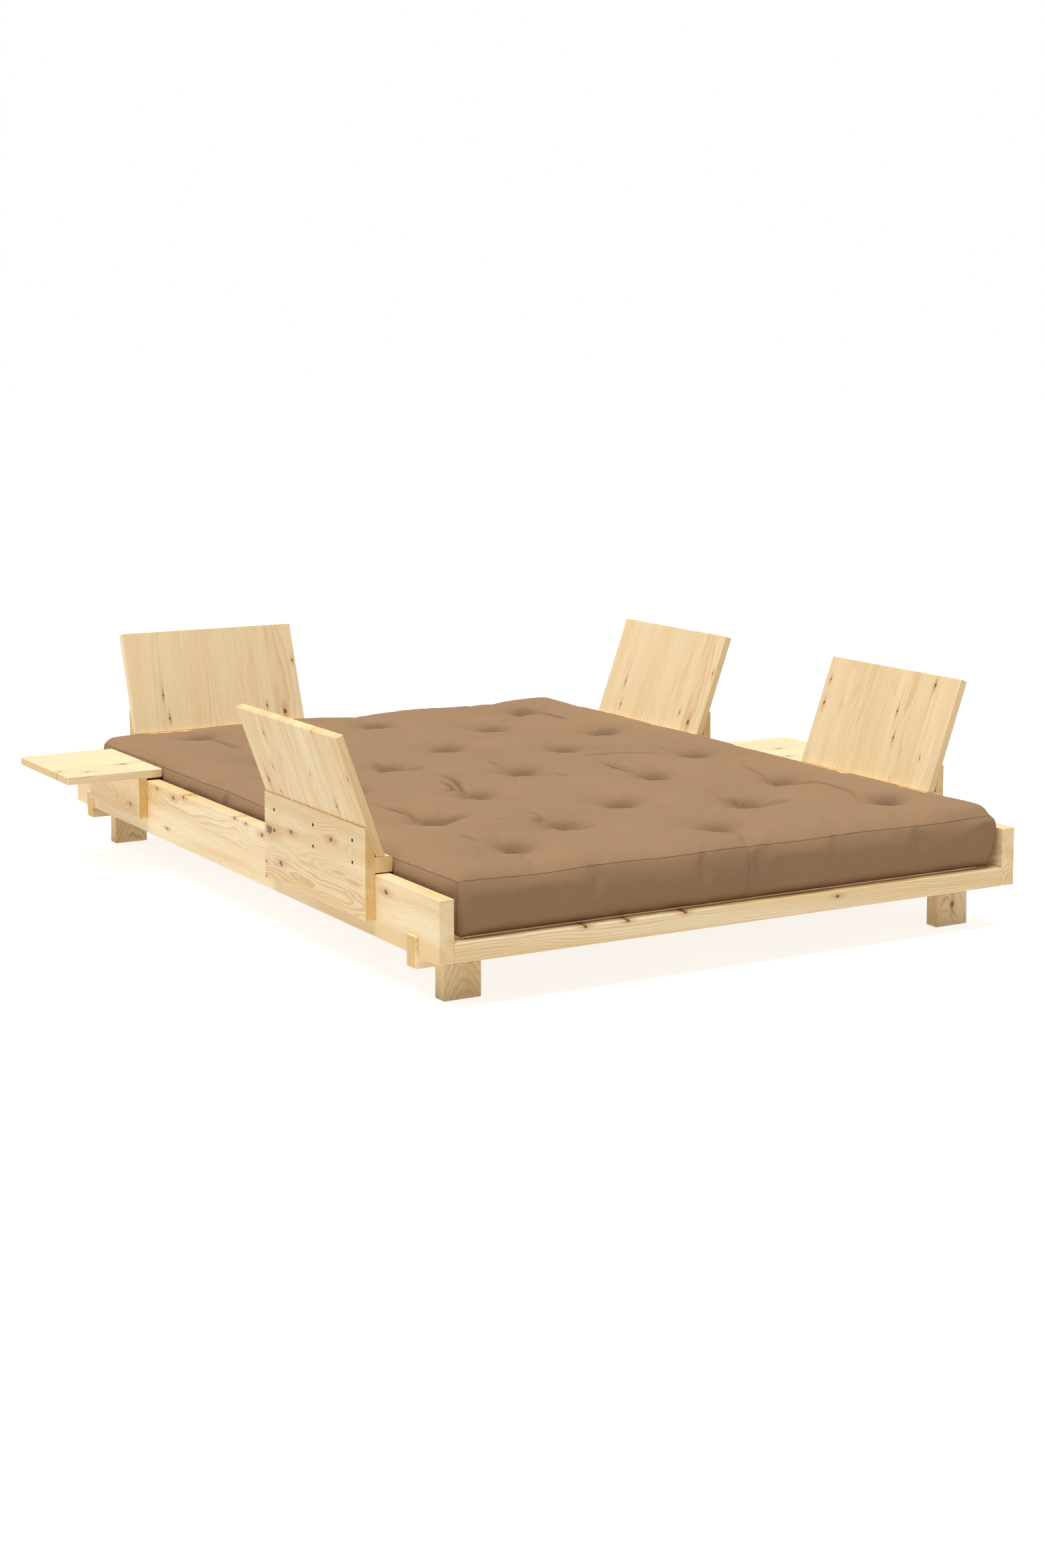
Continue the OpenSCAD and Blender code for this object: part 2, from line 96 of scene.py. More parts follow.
class FutonCover(bpy.types.PropertyGroup):
    """Brown cotton drill over a layered futon filling."""

    cotton: bpy.props.FloatVectorProperty(
        name="Cotton", description="Colour of the dyed cotton drill",
        default=to_linear("#9A7A5B"), **COLOUR)
    thread: bpy.props.FloatVectorProperty(
        name="Thread", description="Colour of seams and tuft ties",
        default=to_linear("#745941"), **COLOUR)
    tuft_depth: bpy.props.FloatProperty(
        name="Tuft depth", description="How far the ties pull the top down",
        default=0.026, max=0.04, **LENGTH)
    pressure: bpy.props.FloatProperty(
        name="Filling pressure", description="Cloth pressure that swells the cover",
        default=4.0, min=0.0, max=20.0)
    swell_cap: bpy.props.FloatProperty(
        name="Swell cap", description="Furthest a point of the cover may move",
        default=0.011, max=0.05, **LENGTH)


class SteelFinish(bpy.types.PropertyGroup):
    """Powder-coated hooks, blackened screws, zinc-plated frame fittings, slat tape and dowels."""

    coat: bpy.props.FloatVectorProperty(
        name="Powder coat", description="Colour of hooks and screws",
        default=to_linear("#1C1A19"), **COLOUR)
    zinc: bpy.props.FloatVectorProperty(
        name="Zinc", description="Colour of brackets and frame screws",
        default=to_linear("#C9CACB"), **COLOUR)
    tape: bpy.props.FloatVectorProperty(
        name="Slat tape", description="Colour of the woven tape under the slats",
        default=to_linear("#E6DFCF"), **COLOUR)
    beech: bpy.props.FloatVectorProperty(
        name="Beech", description="Colour of the turned dowels",
        default=to_linear("#D9B488"), **COLOUR)


class StageSettings(bpy.types.PropertyGroup):
    """Floor, light and camera."""

    floor: bpy.props.FloatVectorProperty(
        name="Floor", description="Colour of the opal shooting table",
        default=to_linear("#C4C4C3"), **COLOUR)
    glow: bpy.props.FloatProperty(
        name="Table glow", description="Light that comes up through the table",
        default=0.78, min=0.0, max=2.0)
    key: bpy.props.FloatProperty(
        name="Key light", description="Strength of the soft overhead light, W/m2",
        default=3.66, min=0.0, max=20.0)
    fill: bpy.props.FloatProperty(
        name="Fill light", description="Strength of the even light from all round",
        default=0.23, min=0.0, max=5.0)
    lens: bpy.props.FloatProperty(
        name="Lens", description="Focal length, mm", default=57.6326, min=10.0, max=300.0)


# ---- helpers ----


def plug(tree, node, inputs):
    """Sets or links a node's sockets. A node given as an input stands for its first output."""
    for key, value in inputs.items():
        if isinstance(value, bpy.types.Node):
            value = value.outputs[0]
        if isinstance(value, bpy.types.NodeSocket):
            tree.links.new(value, node.inputs[key])
        else:
            node.inputs[key].default_value = value


def add(tree, kind, inputs=None, **settings):
    """Adds one shader node to a tree: settings set its options, and inputs its sockets. Sockets go
    by name or number. 1 to 4 of a Map Range are from min, from max, to min and to max. A colour Mix
    takes its colours in 6 and 7 and gives the mixed one in 2."""
    made = tree.nodes.new(f"ShaderNode{kind}")
    for key, value in settings.items():
        setattr(made, key, value)
    plug(tree, made, inputs or {})
    return made


def new_group(name, takes, gives):
    """An empty shader group with the named sockets. Returns it, what it takes and its output
    node."""
    group = bpy.data.node_groups.new(name, "ShaderNodeTree")
    for way, sockets in (("INPUT", takes), ("OUTPUT", gives)):
        for label, kind in sockets:
            group.interface.new_socket(label, in_out=way, socket_type=f"NodeSocket{kind}")
    return group, group.nodes.new("NodeGroupInput").outputs, group.nodes.new("NodeGroupOutput")


def new_material(name):
    """A material with a Principled shader. Returns it, its tree, the shader and the texture
    coordinates."""
    material = bpy.data.materials.new(name)
    material.use_nodes = True
    tree = material.node_tree
    return material, tree, tree.nodes["Principled BSDF"], add(tree, "TexCoord").outputs


def stretched_noise(tree, place, stretch, detail, roughness=0.5):
    """Noise whose grain is 1 / stretch long on each axis, in the units of the place."""
    drawn = add(tree, "VectorMath", {0: place, 1: stretch}, operation="MULTIPLY")
    return add(tree, "TexNoise", {"Vector": drawn, "Scale": 1.0, "Detail": detail,
                                  "Roughness": roughness})


def tinted(tree, colour, pattern, dark, bright, start=0.0, stop=1.0):
    """A colour whose brightness goes from dark to bright as a pattern goes from start to stop."""
    value = add(tree, "MapRange", {"Value": pattern, 1: start, 2: stop, 3: dark, 4: bright})
    return add(tree, "HueSaturation", {"Value": value, "Color": tuple(colour)})


def dress(names, material):
    """Gives CAD nodes a material in every slot they have."""
    for name in names:
        mesh = timbers[name].data
        if not mesh.materials:
            mesh.materials.append(material)
        for slot in timbers[name].material_slots:
            slot.material = material


def corner(name, *pick):
    """A corner of a CAD node's box: pick is 0 for the low and 1 for the high side on X, Y and Z."""
    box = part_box(name)
    return Vector([box[side][axis] for axis, side in enumerate(pick)])


# ---- pine ----

X, Y, Z = (1.0, 0.0, 0.0), (0.0, 1.0, 0.0), (0.0, 0.0, 1.0)


def knot_group():
    """A branch knot crossing a board. The grain is pushed apart across the board by
    0.9 r d / (|d| + 0.6 r), fading as 1 / (1 + (u/2.6r)^2 + (d/2.2r)^2)^2, so rings flow round it.
    Core: 1 inside a wobbly oval of radius r. Halo: a softer oval three times as long.
    Streak: a hair-thin resin line along the grain that tapers to nothing at its length."""
    group, take, give = new_group(
        "pine_knot",
        [("Grain", "Vector"), ("Place", "Vector"), ("Radius", "Float"), ("Streak", "Float")],
        [("Grain", "Vector"), ("Core", "Float"), ("Halo", "Float"), ("Streak", "Float")])
    grain, radius = take["Grain"], take["Radius"]
    apart = add(group, "VectorMath", {0: grain, 1: take["Place"]}, operation="SUBTRACT")
    flat = add(group, "VectorMath", {0: apart, 1: (1.0, 1.0, 0.0)}, operation="MULTIPLY")
    parts = add(group, "SeparateXYZ", {0: flat})
    d, u = parts.outputs["Y"], parts.outputs["X"]

    def oval(along, across):
        """The distance from the knot's middle, with its parts along and across the grain scaled."""
        drawn = add(group, "VectorMath", {0: flat, 1: (along, across, 0.0)}, operation="MULTIPLY")
        return add(group, "VectorMath", {0: drawn}, operation="LENGTH").outputs["Value"]

    wobble = add(group, "TexNoise", {"Vector": grain, "Scale": 0.11, "Detail": 2.0})
    swing = add(group, "MapRange", {"Value": wobble, 1: 0.25, 2: 0.75, 3: 0.72, 4: 1.28})
    ragged = add(group, "Math", {0: oval(0.74, 1.0), 1: swing}, operation="MULTIPLY")
    share = add(group, "Math", {0: ragged, 1: radius}, operation="DIVIDE")
    core = add(group, "MapRange", {"Value": share, 1: 0.62, 2: 1.12, 3: 1.0, 4: 0.0},
               interpolation_type="SMOOTHSTEP")
    far = add(group, "Math", {0: oval(0.3, 1.0), 1: radius}, operation="DIVIDE")
    halo = add(group, "MapRange", {"Value": far, 1: 0.6, 2: 2.6, 3: 1.0, 4: 0.0},
               interpolation_type="SMOOTHSTEP")

    gone = add(group, "Math", {0: oval(0.385, 0.455), 1: radius}, operation="DIVIDE")
    fade_base = add(group, "Math", {0: gone, 1: gone, 2: 1.0}, operation="MULTIPLY_ADD")
    fade = add(group, "Math", {0: fade_base, 1: -2.0}, operation="POWER")
    width = add(group, "Math", {0: d}, operation="ABSOLUTE")
    soft = add(group, "Math", {0: radius, 1: 0.6, 2: width}, operation="MULTIPLY_ADD")
    side = add(group, "Math", {0: d, 1: soft}, operation="DIVIDE")
    strong = add(group, "Math", {0: side, 1: fade}, operation="MULTIPLY")
    shove = add(group, "Math", {0: strong, 1: radius}, operation="MULTIPLY")
    push = add(group, "CombineXYZ", {"Y": shove})
    pushed = add(group, "VectorMath", {0: push, 1: (0.0, -0.9, 0.0), 2: grain},
                 operation="MULTIPLY_ADD")

    run = add(group, "Math", {0: u}, operation="ABSOLUTE")
    along = add(group, "Math", {0: run, 1: take["Streak"]}, operation="DIVIDE")
    taper = add(group, "MapRange", {"Value": along, 1: 0.0, 2: 1.0, 3: 1.1, 4: -0.9})
    drift = add(group, "TexNoise", {"Vector": grain, "Scale": 0.02, "Detail": 1.0})
    sway = add(group, "Math", {0: drift, 1: 8.0, 2: -4.0}, operation="MULTIPLY_ADD")
    bent = add(group, "Math", {0: sway, 1: along, 2: d}, operation="MULTIPLY_ADD")
    off = add(group, "Math", {0: bent}, operation="ABSOLUTE")
    line = add(group, "Math", {0: taper, 1: off}, operation="SUBTRACT")
    streak = add(group, "MapRange", {"Value": line, 1: -0.9, 2: 0.6},
                 interpolation_type="SMOOTHSTEP")
    plug(group, give, {"Grain": pushed, "Core": core, "Halo": halo, "Streak": streak})


def figure_group():
    """The figure that a saw opens in a log. Ring distance is the distance from the pith line plus
    a slow wave and a quick ripple, both stretched along the grain, plus a taper along the log.
    Each ring is its distance over the ring spacing, and darkens to a narrow latewood edge. Staves
    cut the board across into strips, each from another place in the log."""
    group, take, give = new_group(
        "pine_figure",
        [("Grain", "Vector"), ("Board", "Vector"), ("Seed", "Float"), ("Pith", "Vector"),
         ("Spacing", "Float"), ("Wave", "Float"), ("Taper", "Float"), ("Stave", "Float")],
        [("Late", "Float"), ("Band", "Float"), ("Fibre", "Float"), ("Tone", "Float")])
    seed, stave = take["Seed"], take["Stave"]
    parts = add(group, "SeparateXYZ", {0: take["Board"]})
    strip = add(group, "Math", {0: parts.outputs["Y"], 1: stave}, operation="DIVIDE")
    number = add(group, "Math", {0: strip}, operation="FLOOR")
    start = add(group, "Math", {0: number, 1: stave}, operation="MULTIPLY")
    before = add(group, "CombineXYZ", {"Y": start})
    local = add(group, "VectorMath", {0: take["Grain"], 1: before}, operation="SUBTRACT")
    # A stave is cut from up to 900 mm along the log and 46 and 40 mm across it.
    key = add(group, "Math", {0: seed, 1: 17.3, 2: number}, operation="MULTIPLY_ADD")
    chance = add(group, "TexWhiteNoise", {"W": key}, noise_dimensions="1D")
    jump = add(group, "VectorMath", {0: chance.outputs["Color"], 1: (900.0, 46.0, 40.0), 2: local},
               operation="MULTIPLY_ADD")
    from_pith = add(group, "VectorMath", {0: jump, 1: take["Pith"]}, operation="SUBTRACT")
    round_pith = add(group, "VectorMath", {0: from_pith, 1: (0.0, 1.0, 1.0)}, operation="MULTIPLY")
    radius = add(group, "VectorMath", {0: round_pith}, operation="LENGTH").outputs["Value"]

    # Each seed has a part of the waves to itself.
    away = add(group, "VectorMath", {0: (977.0, 613.0, 811.0), "Scale": seed}, operation="SCALE")
    place = add(group, "VectorMath", {0: jump, 1: away}, operation="ADD")
    slow = stretched_noise(group, place, (0.0036, 0.016, 0.016), 1.0)
    quick = stretched_noise(group, place, (0.011, 0.07, 0.07), 2.0)
    bend = add(group, "Math", {0: slow, 1: take["Wave"], 2: radius}, operation="MULTIPLY_ADD")
    ripple = add(group, "Math", {0: quick, 1: 7.0, 2: bend}, operation="MULTIPLY_ADD")
    distance = add(group, "Math", {0: parts.outputs["X"], 1: take["Taper"], 2: ripple},
                   operation="MULTIPLY_ADD")
    rings = add(group, "Math", {0: distance, 1: take["Spacing"]}, operation="DIVIDE")
    phase = add(group, "Math", {0: rings}, operation="FRACT")
    rise = add(group, "MapRange", {"Value": phase, 1: 0.3, 2: 0.86},
               interpolation_type="SMOOTHERSTEP")
    fall = add(group, "MapRange", {"Value": phase, 1: 0.9, 2: 1.0, 3: 1.0, 4: 0.0},
               interpolation_type="SMOOTHSTEP")
    edge = add(group, "Math", {0: rise, 1: fall}, operation="MULTIPLY")
    # Runs of about three years, 1 / 0.31, grow strong or weak latewood.
    which = add(group, "Math", {0: rings, 1: 0.31}, operation="MULTIPLY")
    years = add(group, "CombineXYZ", {"X": which, "Y": key})
    season = add(group, "TexNoise", {"Vector": years, "Scale": 1.0, "Detail": 1.0},
                 noise_dimensions="2D")
    weight = add(group, "MapRange", {"Value": season, 1: 0.36, 2: 0.68, 3: 0.12, 4: 1.0})
    late = add(group, "Math", {0: edge, 1: weight}, operation="MULTIPLY")

    band = stretched_noise(group, place, (0.0014, 0.024, 0.02), 2.0)
    clear = add(group, "MapRange", {"Value": band, 1: 0.34, 2: 0.66})
    fibre = stretched_noise(group, place, (0.02, 0.42, 0.42), 3.0, 0.7)
    plug(group, give, {"Late": late, "Band": clear, "Fibre": fibre, "Tone": chance})


def lacquered_pine(name, finish, origin, along, across, seed, pith, wave=26.0, taper=0.0,
                   stave=0.0, knots=(), contrast=0.34, end_tint=0.75, spread=0.3, warmth=1.0,
                   gap=None):
    """Nordic pine, planed, sanded and clear-lacquered: pale sapwood with warm bands, thin
    golden-brown latewood lines that part round red-brown knots, a satin sheen and an end grain that
    drinks the lacquer and looks deeper. Coordinates are millimetres along the grain, across the
    board and into it, from the given corner. Knots are (along, across, radius, streak length)."""
    material, tree, shader, where = new_material(name)
    u, v = Vector(along).normalized(), Vector(across).normalized()
    turn = Matrix((u, v, u.cross(v))).transposed().to_euler()
    board = add(tree, "Mapping", {"Vector": where["Object"], "Location": origin, "Rotation": turn,
                "Scale": (0.001, 0.001, 0.001)}, vector_type="TEXTURE")
    grain = board.outputs[0]
    marks = {"Core": 0.0, "Halo": 0.0, "Streak": 0.0}
    for place_u, place_v, radius, streak in knots:
        knot = add(tree, "Group", {"Grain": grain, "Place": (place_u, place_v, 0.0),
                   "Radius": radius, "Streak": streak}, node_tree=bpy.data.node_groups["pine_knot"])
        grain = knot.outputs["Grain"]
        for mark in marks:
            marks[mark] = add(tree, "Math", {0: knot.outputs[mark], 1: marks[mark]},
                              operation="MAXIMUM")

    figure = add(tree, "Group", {
        "Grain": grain, "Board": board, "Seed": seed, "Pith": (0.0, *pith),
        "Spacing": gap or finish.ring_gap, "Wave": wave, "Taper": taper, "Stave": stave},
        node_tree=bpy.data.node_groups["pine_figure"]).outputs
    tone = add(tree, "Math", {0: figure["Tone"], 1: spread, 2: figure["Band"]},
               operation="MULTIPLY_ADD")
    warm = add(tree, "Math", {0: tone, 1: warmth, 2: -0.5 * spread}, operation="MULTIPLY_ADD")
    base = add(tree, "Mix", {0: warm, 6: tuple(finish.sapwood), 7: tuple(finish.heartwood)},
               data_type="RGBA")
    late = add(tree, "Math", {0: figure["Late"], 1: contrast}, operation="MULTIPLY")
    ringed = add(tree, "Mix", {0: late, 6: base.outputs[2], 7: tuple(finish.latewood)},
                 data_type="RGBA")
    fibres = add(tree, "MapRange", {"Value": figure["Fibre"], 1: 0.2, 2: 0.8, 3: 0.93, 4: 1.06})
    colour = add(tree, "VectorMath", {0: ringed.outputs[2], "Scale": fibres}, operation="SCALE")
    for mark, strength, stain in (("Halo", 0.42, finish.knot_halo), ("Streak", 0.5, finish.knot),
                                  ("Core", 0.86, finish.knot)):
        share = add(tree, "Math", {0: marks[mark], 1: strength}, operation="MULTIPLY")
        colour = add(tree, "Mix", {0: share, 6: colour, 7: tuple(stain)},
                     data_type="RGBA").outputs[2]
    facing = add(tree, "VectorMath", {0: where["Normal"], 1: u},
                 operation="DOT_PRODUCT").outputs["Value"]
    ended = add(tree, "Math", {0: facing}, operation="ABSOLUTE")
    end = add(tree, "MapRange", {"Value": ended, 1: 0.75, 2: 0.95, 4: end_tint})
    drunk = add(tree, "Mix", {0: end, 6: colour, 7: tuple(finish.end_grain)}, data_type="RGBA",
                blend_type="MULTIPLY")
    rough = add(tree, "MapRange", {"Value": figure["Fibre"], 1: 0.2, 2: 0.8,
                3: finish.lacquer - 0.05, 4: finish.lacquer + 0.07})
    sunk = add(tree, "Math", {0: figure["Late"], 1: 0.5, 2: figure["Fibre"]},
               operation="MULTIPLY_ADD")
    relief = add(tree, "Bump", {"Strength": 0.25, "Distance": 0.0004, "Height": sunk})
    plug(tree, shader, {"Base Color": drunk.outputs[2], "Roughness": rough, "Normal": relief,
         "IOR": 1.5, "Coat Weight": 0.12, "Coat Roughness": 0.3})
    return material


def saw(names, name, finish, along, across, seed, pith, pick=(0, 0, 0), **look):
    """Dresses CAD nodes in one pine, measured from a corner of the first."""
    dress(names, lacquered_pine(name, finish, corner(names[0], *pick), along, across, seed, pith,
                                **look))


# ---- steel, tape, beech ----


def powder_coated_steel(steel):
    """Bent steel angle with a black polyester powder coat: fine orange-peel bumps, satin."""
    material, tree, shader, where = new_material("black_powder_coat")
    peel = add(tree, "TexNoise", {"Vector": where["Object"], "Scale": 900.0, "Detail": 2.0})
    shade = add(tree, "TexNoise", {"Vector": where["Object"], "Scale": 14.0, "Detail": 3.0})
    plug(tree, shader, {
        "Base Color": tinted(tree, steel.coat, shade, 0.75, 1.35),
        "Roughness": add(tree, "MapRange", {"Value": shade, 3: 0.42, 4: 0.58}),
        "Normal": add(tree, "Bump", {"Strength": 0.3, "Distance": 0.00005, "Height": peel})})
    return material


def blackened_screws(steel):
    """Black-oxide socket screws: dark oiled metal with rubbed, slightly brighter high spots."""
    material, tree, shader, where = new_material("black_oxide_screws")
    oil = add(tree, "TexNoise", {"Vector": where["Object"], "Scale": 260.0, "Detail": 3.0})
    plug(tree, shader, {
        "Base Color": tinted(tree, steel.coat, oil, 0.5, 1.9), "Metallic": 0.8,
        "Roughness": add(tree, "MapRange", {"Value": oil, 3: 0.34, 4: 0.55})})
    return material


def zinc_plated_steel(steel):
    """Bright zinc over cold-rolled steel: a cool grey with a faint milky spangle."""
    material, tree, shader, where = new_material("zinc_plated_steel")
    spangle = add(tree, "TexVoronoi", {"Vector": where["Object"], "Scale": 420.0})
    milk = add(tree, "TexNoise", {"Vector": where["Object"], "Scale": 55.0, "Detail": 3.0})
    shade = add(tree, "Math", {0: spangle.outputs["Color"], 1: 0.16, 2: 0.86},
                operation="MULTIPLY_ADD")
    plug(tree, shader, {
        "Base Color": add(tree, "HueSaturation", {"Value": shade, "Color": tuple(steel.zinc)}),
        "Roughness": add(tree, "MapRange", {"Value": milk, 3: 0.22, 4: 0.44}), "Metallic": 1.0})
    return material


def woven_tape(steel):
    """Plain-woven polypropylene tape, 2 mm per thread pair: a small raised basket pattern."""
    material, tree, shader, where = new_material("woven_slat_tape")
    warp, weft = (add(tree, "TexWave", {"Vector": where["Object"], "Scale": 80.0},
                      bands_direction=way).outputs["Fac"] for way in ("X", "Y"))
    weave = add(tree, "Math", {0: warp, 1: weft}, operation="MULTIPLY")
    plug(tree, shader, {
        "Base Color": tinted(tree, steel.tape, weave, 0.8, 1.05), "Roughness": 0.78,
        "Normal": add(tree, "Bump", {"Strength": 0.7, "Distance": 0.0004, "Height": weave})})
    return material


def turned_beech(steel):
    """Fluted beech dowel: even pinkish-tan with the short dark ray flecks of the wood."""
    material, tree, shader, where = new_material("turned_beech")
    along = add(tree, "Mapping", {"Vector": where["Object"], "Scale": (1400.0, 1400.0, 220.0)})
    fleck = add(tree, "TexNoise", {"Vector": along, "Scale": 1.0, "Detail": 2.0})
    plug(tree, shader, {"Base Color": tinted(tree, steel.beech, fleck, 0.8, 1.05, 0.35, 0.6),
         "Roughness": 0.62})
    return material


# ---- futon ----

# Ties through the cover: millimetres from the left edge and from the foot edge.
TUFTS = np.array([
    (229, 162), (735, 140), (1230, 168), (450, 326), (941, 332), (203, 500), (702, 483),
    (1177, 510), (450, 725), (946, 724), (220, 932), (697, 936), (1203, 928), (444, 1172),
    (954, 1171), (220, 1358), (708, 1348), (1204, 1367), (450, 1581), (974, 1581), (217, 1838),
    (716, 1771), (1204, 1802)], float)

# Folds in the cover, each from its tie outwards: its depth times FOLD_SHARE and its width, both in
# millimetres, then points as above.
FOLD_SHARE = 0.7
FOLDS = (
    (10.0, 7, (697, 936), (677, 983), (673, 1026), (675, 1088)),
    (4.0, 9, (697, 936), (735, 868), (742, 800), (736, 791)),
    (12.0, 7, (450, 725), (446, 790), (474, 896), (484, 990)),
    (10.0, 6, (442, 725), (424, 780), (434, 852), (432, 915)),
    (6.5, 9, (449, 740), (414, 776), (371, 813), (314, 857), (258, 869)),
    (5.0, 9, (470, 850), (489, 965), (472, 1012), (458, 1050)),
    (9.0, 8, (444, 1172), (451, 1221), (440, 1265)),
    (5.5, 9, (444, 1172), (488, 1130), (501, 1039)),
    (12.0, 8, (203, 500), (183, 551), (172, 620), (170, 730)),
    (8.0, 6, (203, 500), (199, 560), (196, 630), (192, 680)),
    (7.0, 8, (203, 500), (259, 491), (316, 486)),
    (6.5, 8, (229, 162), (188, 197), (169, 258), (158, 330)),
    (12.0, 7, (450, 326), (435, 380), (431, 434), (423, 488)),
    (6.5, 9, (450, 326), (480, 290), (521, 307)),
    (6.0, 9, (441, 350), (417, 378), (370, 387), (265, 425)),
    (11.0, 7, (946, 724), (906, 765), (901, 842), (930, 974)),
    (8.0, 6, (946, 724), (925, 790), (925, 850), (940, 919)),
    (5.0, 9, (938, 1029), (1029, 1013), (1110, 951), (1109, 850)),
    (7.0, 8, (954, 1171), (940, 1205), (940, 1245)),
    (12.0, 7, (941, 332), (928, 381), (923, 423), (922, 470)),
    (8.0, 6, (941, 332), (954, 378), (955, 410)),
    (5.0, 9, (941, 332), (1000, 288), (1054, 229)),
    (11.0, 8, (1177, 510), (1168, 565), (1180, 640), (1215, 740)),
    (6.0, 9, (1177, 510), (1215, 440), (1205, 300), (1177, 182)),
    (6.5, 9, (1160, 950), (1165, 1050), (1114, 1090), (1039, 1127), (947, 1108)),
    (7.5, 9, (1204, 1802), (1206, 1650), (1191, 1512)),
    (6.5, 9, (1204, 1367), (1175, 1385), (1175, 1322)),
    (5.5, 10, (217, 1838), (216, 1650), (217, 1531)),
    (3.5, 6, (742, 88), (726, 40), (712, 2)))

# Broad hollows in the filling: millimetres as above, then depth and radius.
HOLLOWS = ((1400, 590, 9, 150), (1400, 255, 5, 90), (730, 2000, 8, 140), (620, 0, 3, 200),
           (0, 700, 4, 200), (1250, 0, 3, 160))

# Puckers down the side: millimetres round the rim from the foot's left corner, depth and width.
# The first is a bulge, against the right rail.
PUCKERS = ((1390, -16, 70), (600, 9, 11), (742, 6, 10), (765, 5, 10), (950, 8, 12), (985, 5, 10),
           (330, 3, 16), (1180, 4, 14), (1720, 6, 14), (2330, 6, 12), (2950, 6, 14), (3700, 6, 12),
           (4300, 6, 14), (5150, 6, 14), (5620, 5, 12), (6300, 6, 12))

# The side from the rim down: how far it stands out, mm, and its height as a share of the rim's.
PROFILE = ((2.0, 0.94), (4.0, 0.84), (5.2, 0.72), (5.5, 0.6), (5.4, 0.47), (4.6, 0.34),
           (2.6, 0.22), (-1.5, 0.12), (-8.0, 0.045), (-17.0, 0.008), (-27.0, 0.0))
RING_GAP = 0.013  # metres of cloth from one ring of the side to the next
FREE_RINGS = 9  # rings below the rim that the filling may push out
END_SWELL = 1.7  # how many times further the foot and head ends stand out
SEAM_HEIGHT = 0.119  # metres from the underside to the rim
TOP_FROM = 0.08  # metres above the underside: ties and folds press only what lies higher
PROUD = ((0.0065, 0.012, 0.0), (0.0065, 0.008, 0.006))  # metres outside the box, low and high side
SWELL_FRAMES = 20
# The cloth round a tie is darkest here, in millimetres from it, and this is how far that spreads.
DARK_MIDDLE, DARK_SPREAD = (10.0, 20.0), (42.0, 36.0)
DARK_FOLD = 7.5  # the depth in FOLDS at which the cloth in a fold is as dark as it gets


def smooth(t):
    """0 below 0, 1 above 1, and 3 t^2 - 2 t^3 between."""
    t = np.clip(t, 0.0, 1.0)
    return t * t * (3.0 - 2.0 * t)


def bell(distance, radius):
    """1 at no distance, falling as exp(-(distance / radius)^2)."""
    return np.exp(-((distance / radius) ** 2))


def lumps(x, y):
    """Uneven filling: four slow waves that cross, each up to 2 mm high."""
    return (0.0017 * np.sin(7.1 * x + 2.3 * y + 0.4) + 0.0014 * np.sin(5.9 * y - 4.3 * x + 2.1)
            + 0.0010 * np.sin(13.0 * x - 9.7 * y + 1.3) + 0.0008 * np.sin(17.0 * y + 21.0 * x))


def from_edge(x, y, half_x, half_y, rounding):
    """Distance inside a rectangle with rounded corners: the rounding, less the length of the part
    of |p| - (half - rounding) above zero, less the larger of its parts where both are below."""
    across, along = np.abs(x) - (half_x - rounding), np.abs(y) - (half_y - rounding)
    outer = np.hypot(np.maximum(across, 0.0), np.maximum(along, 0.0))
    return rounding - outer - np.minimum(np.maximum(across, along), 0.0)


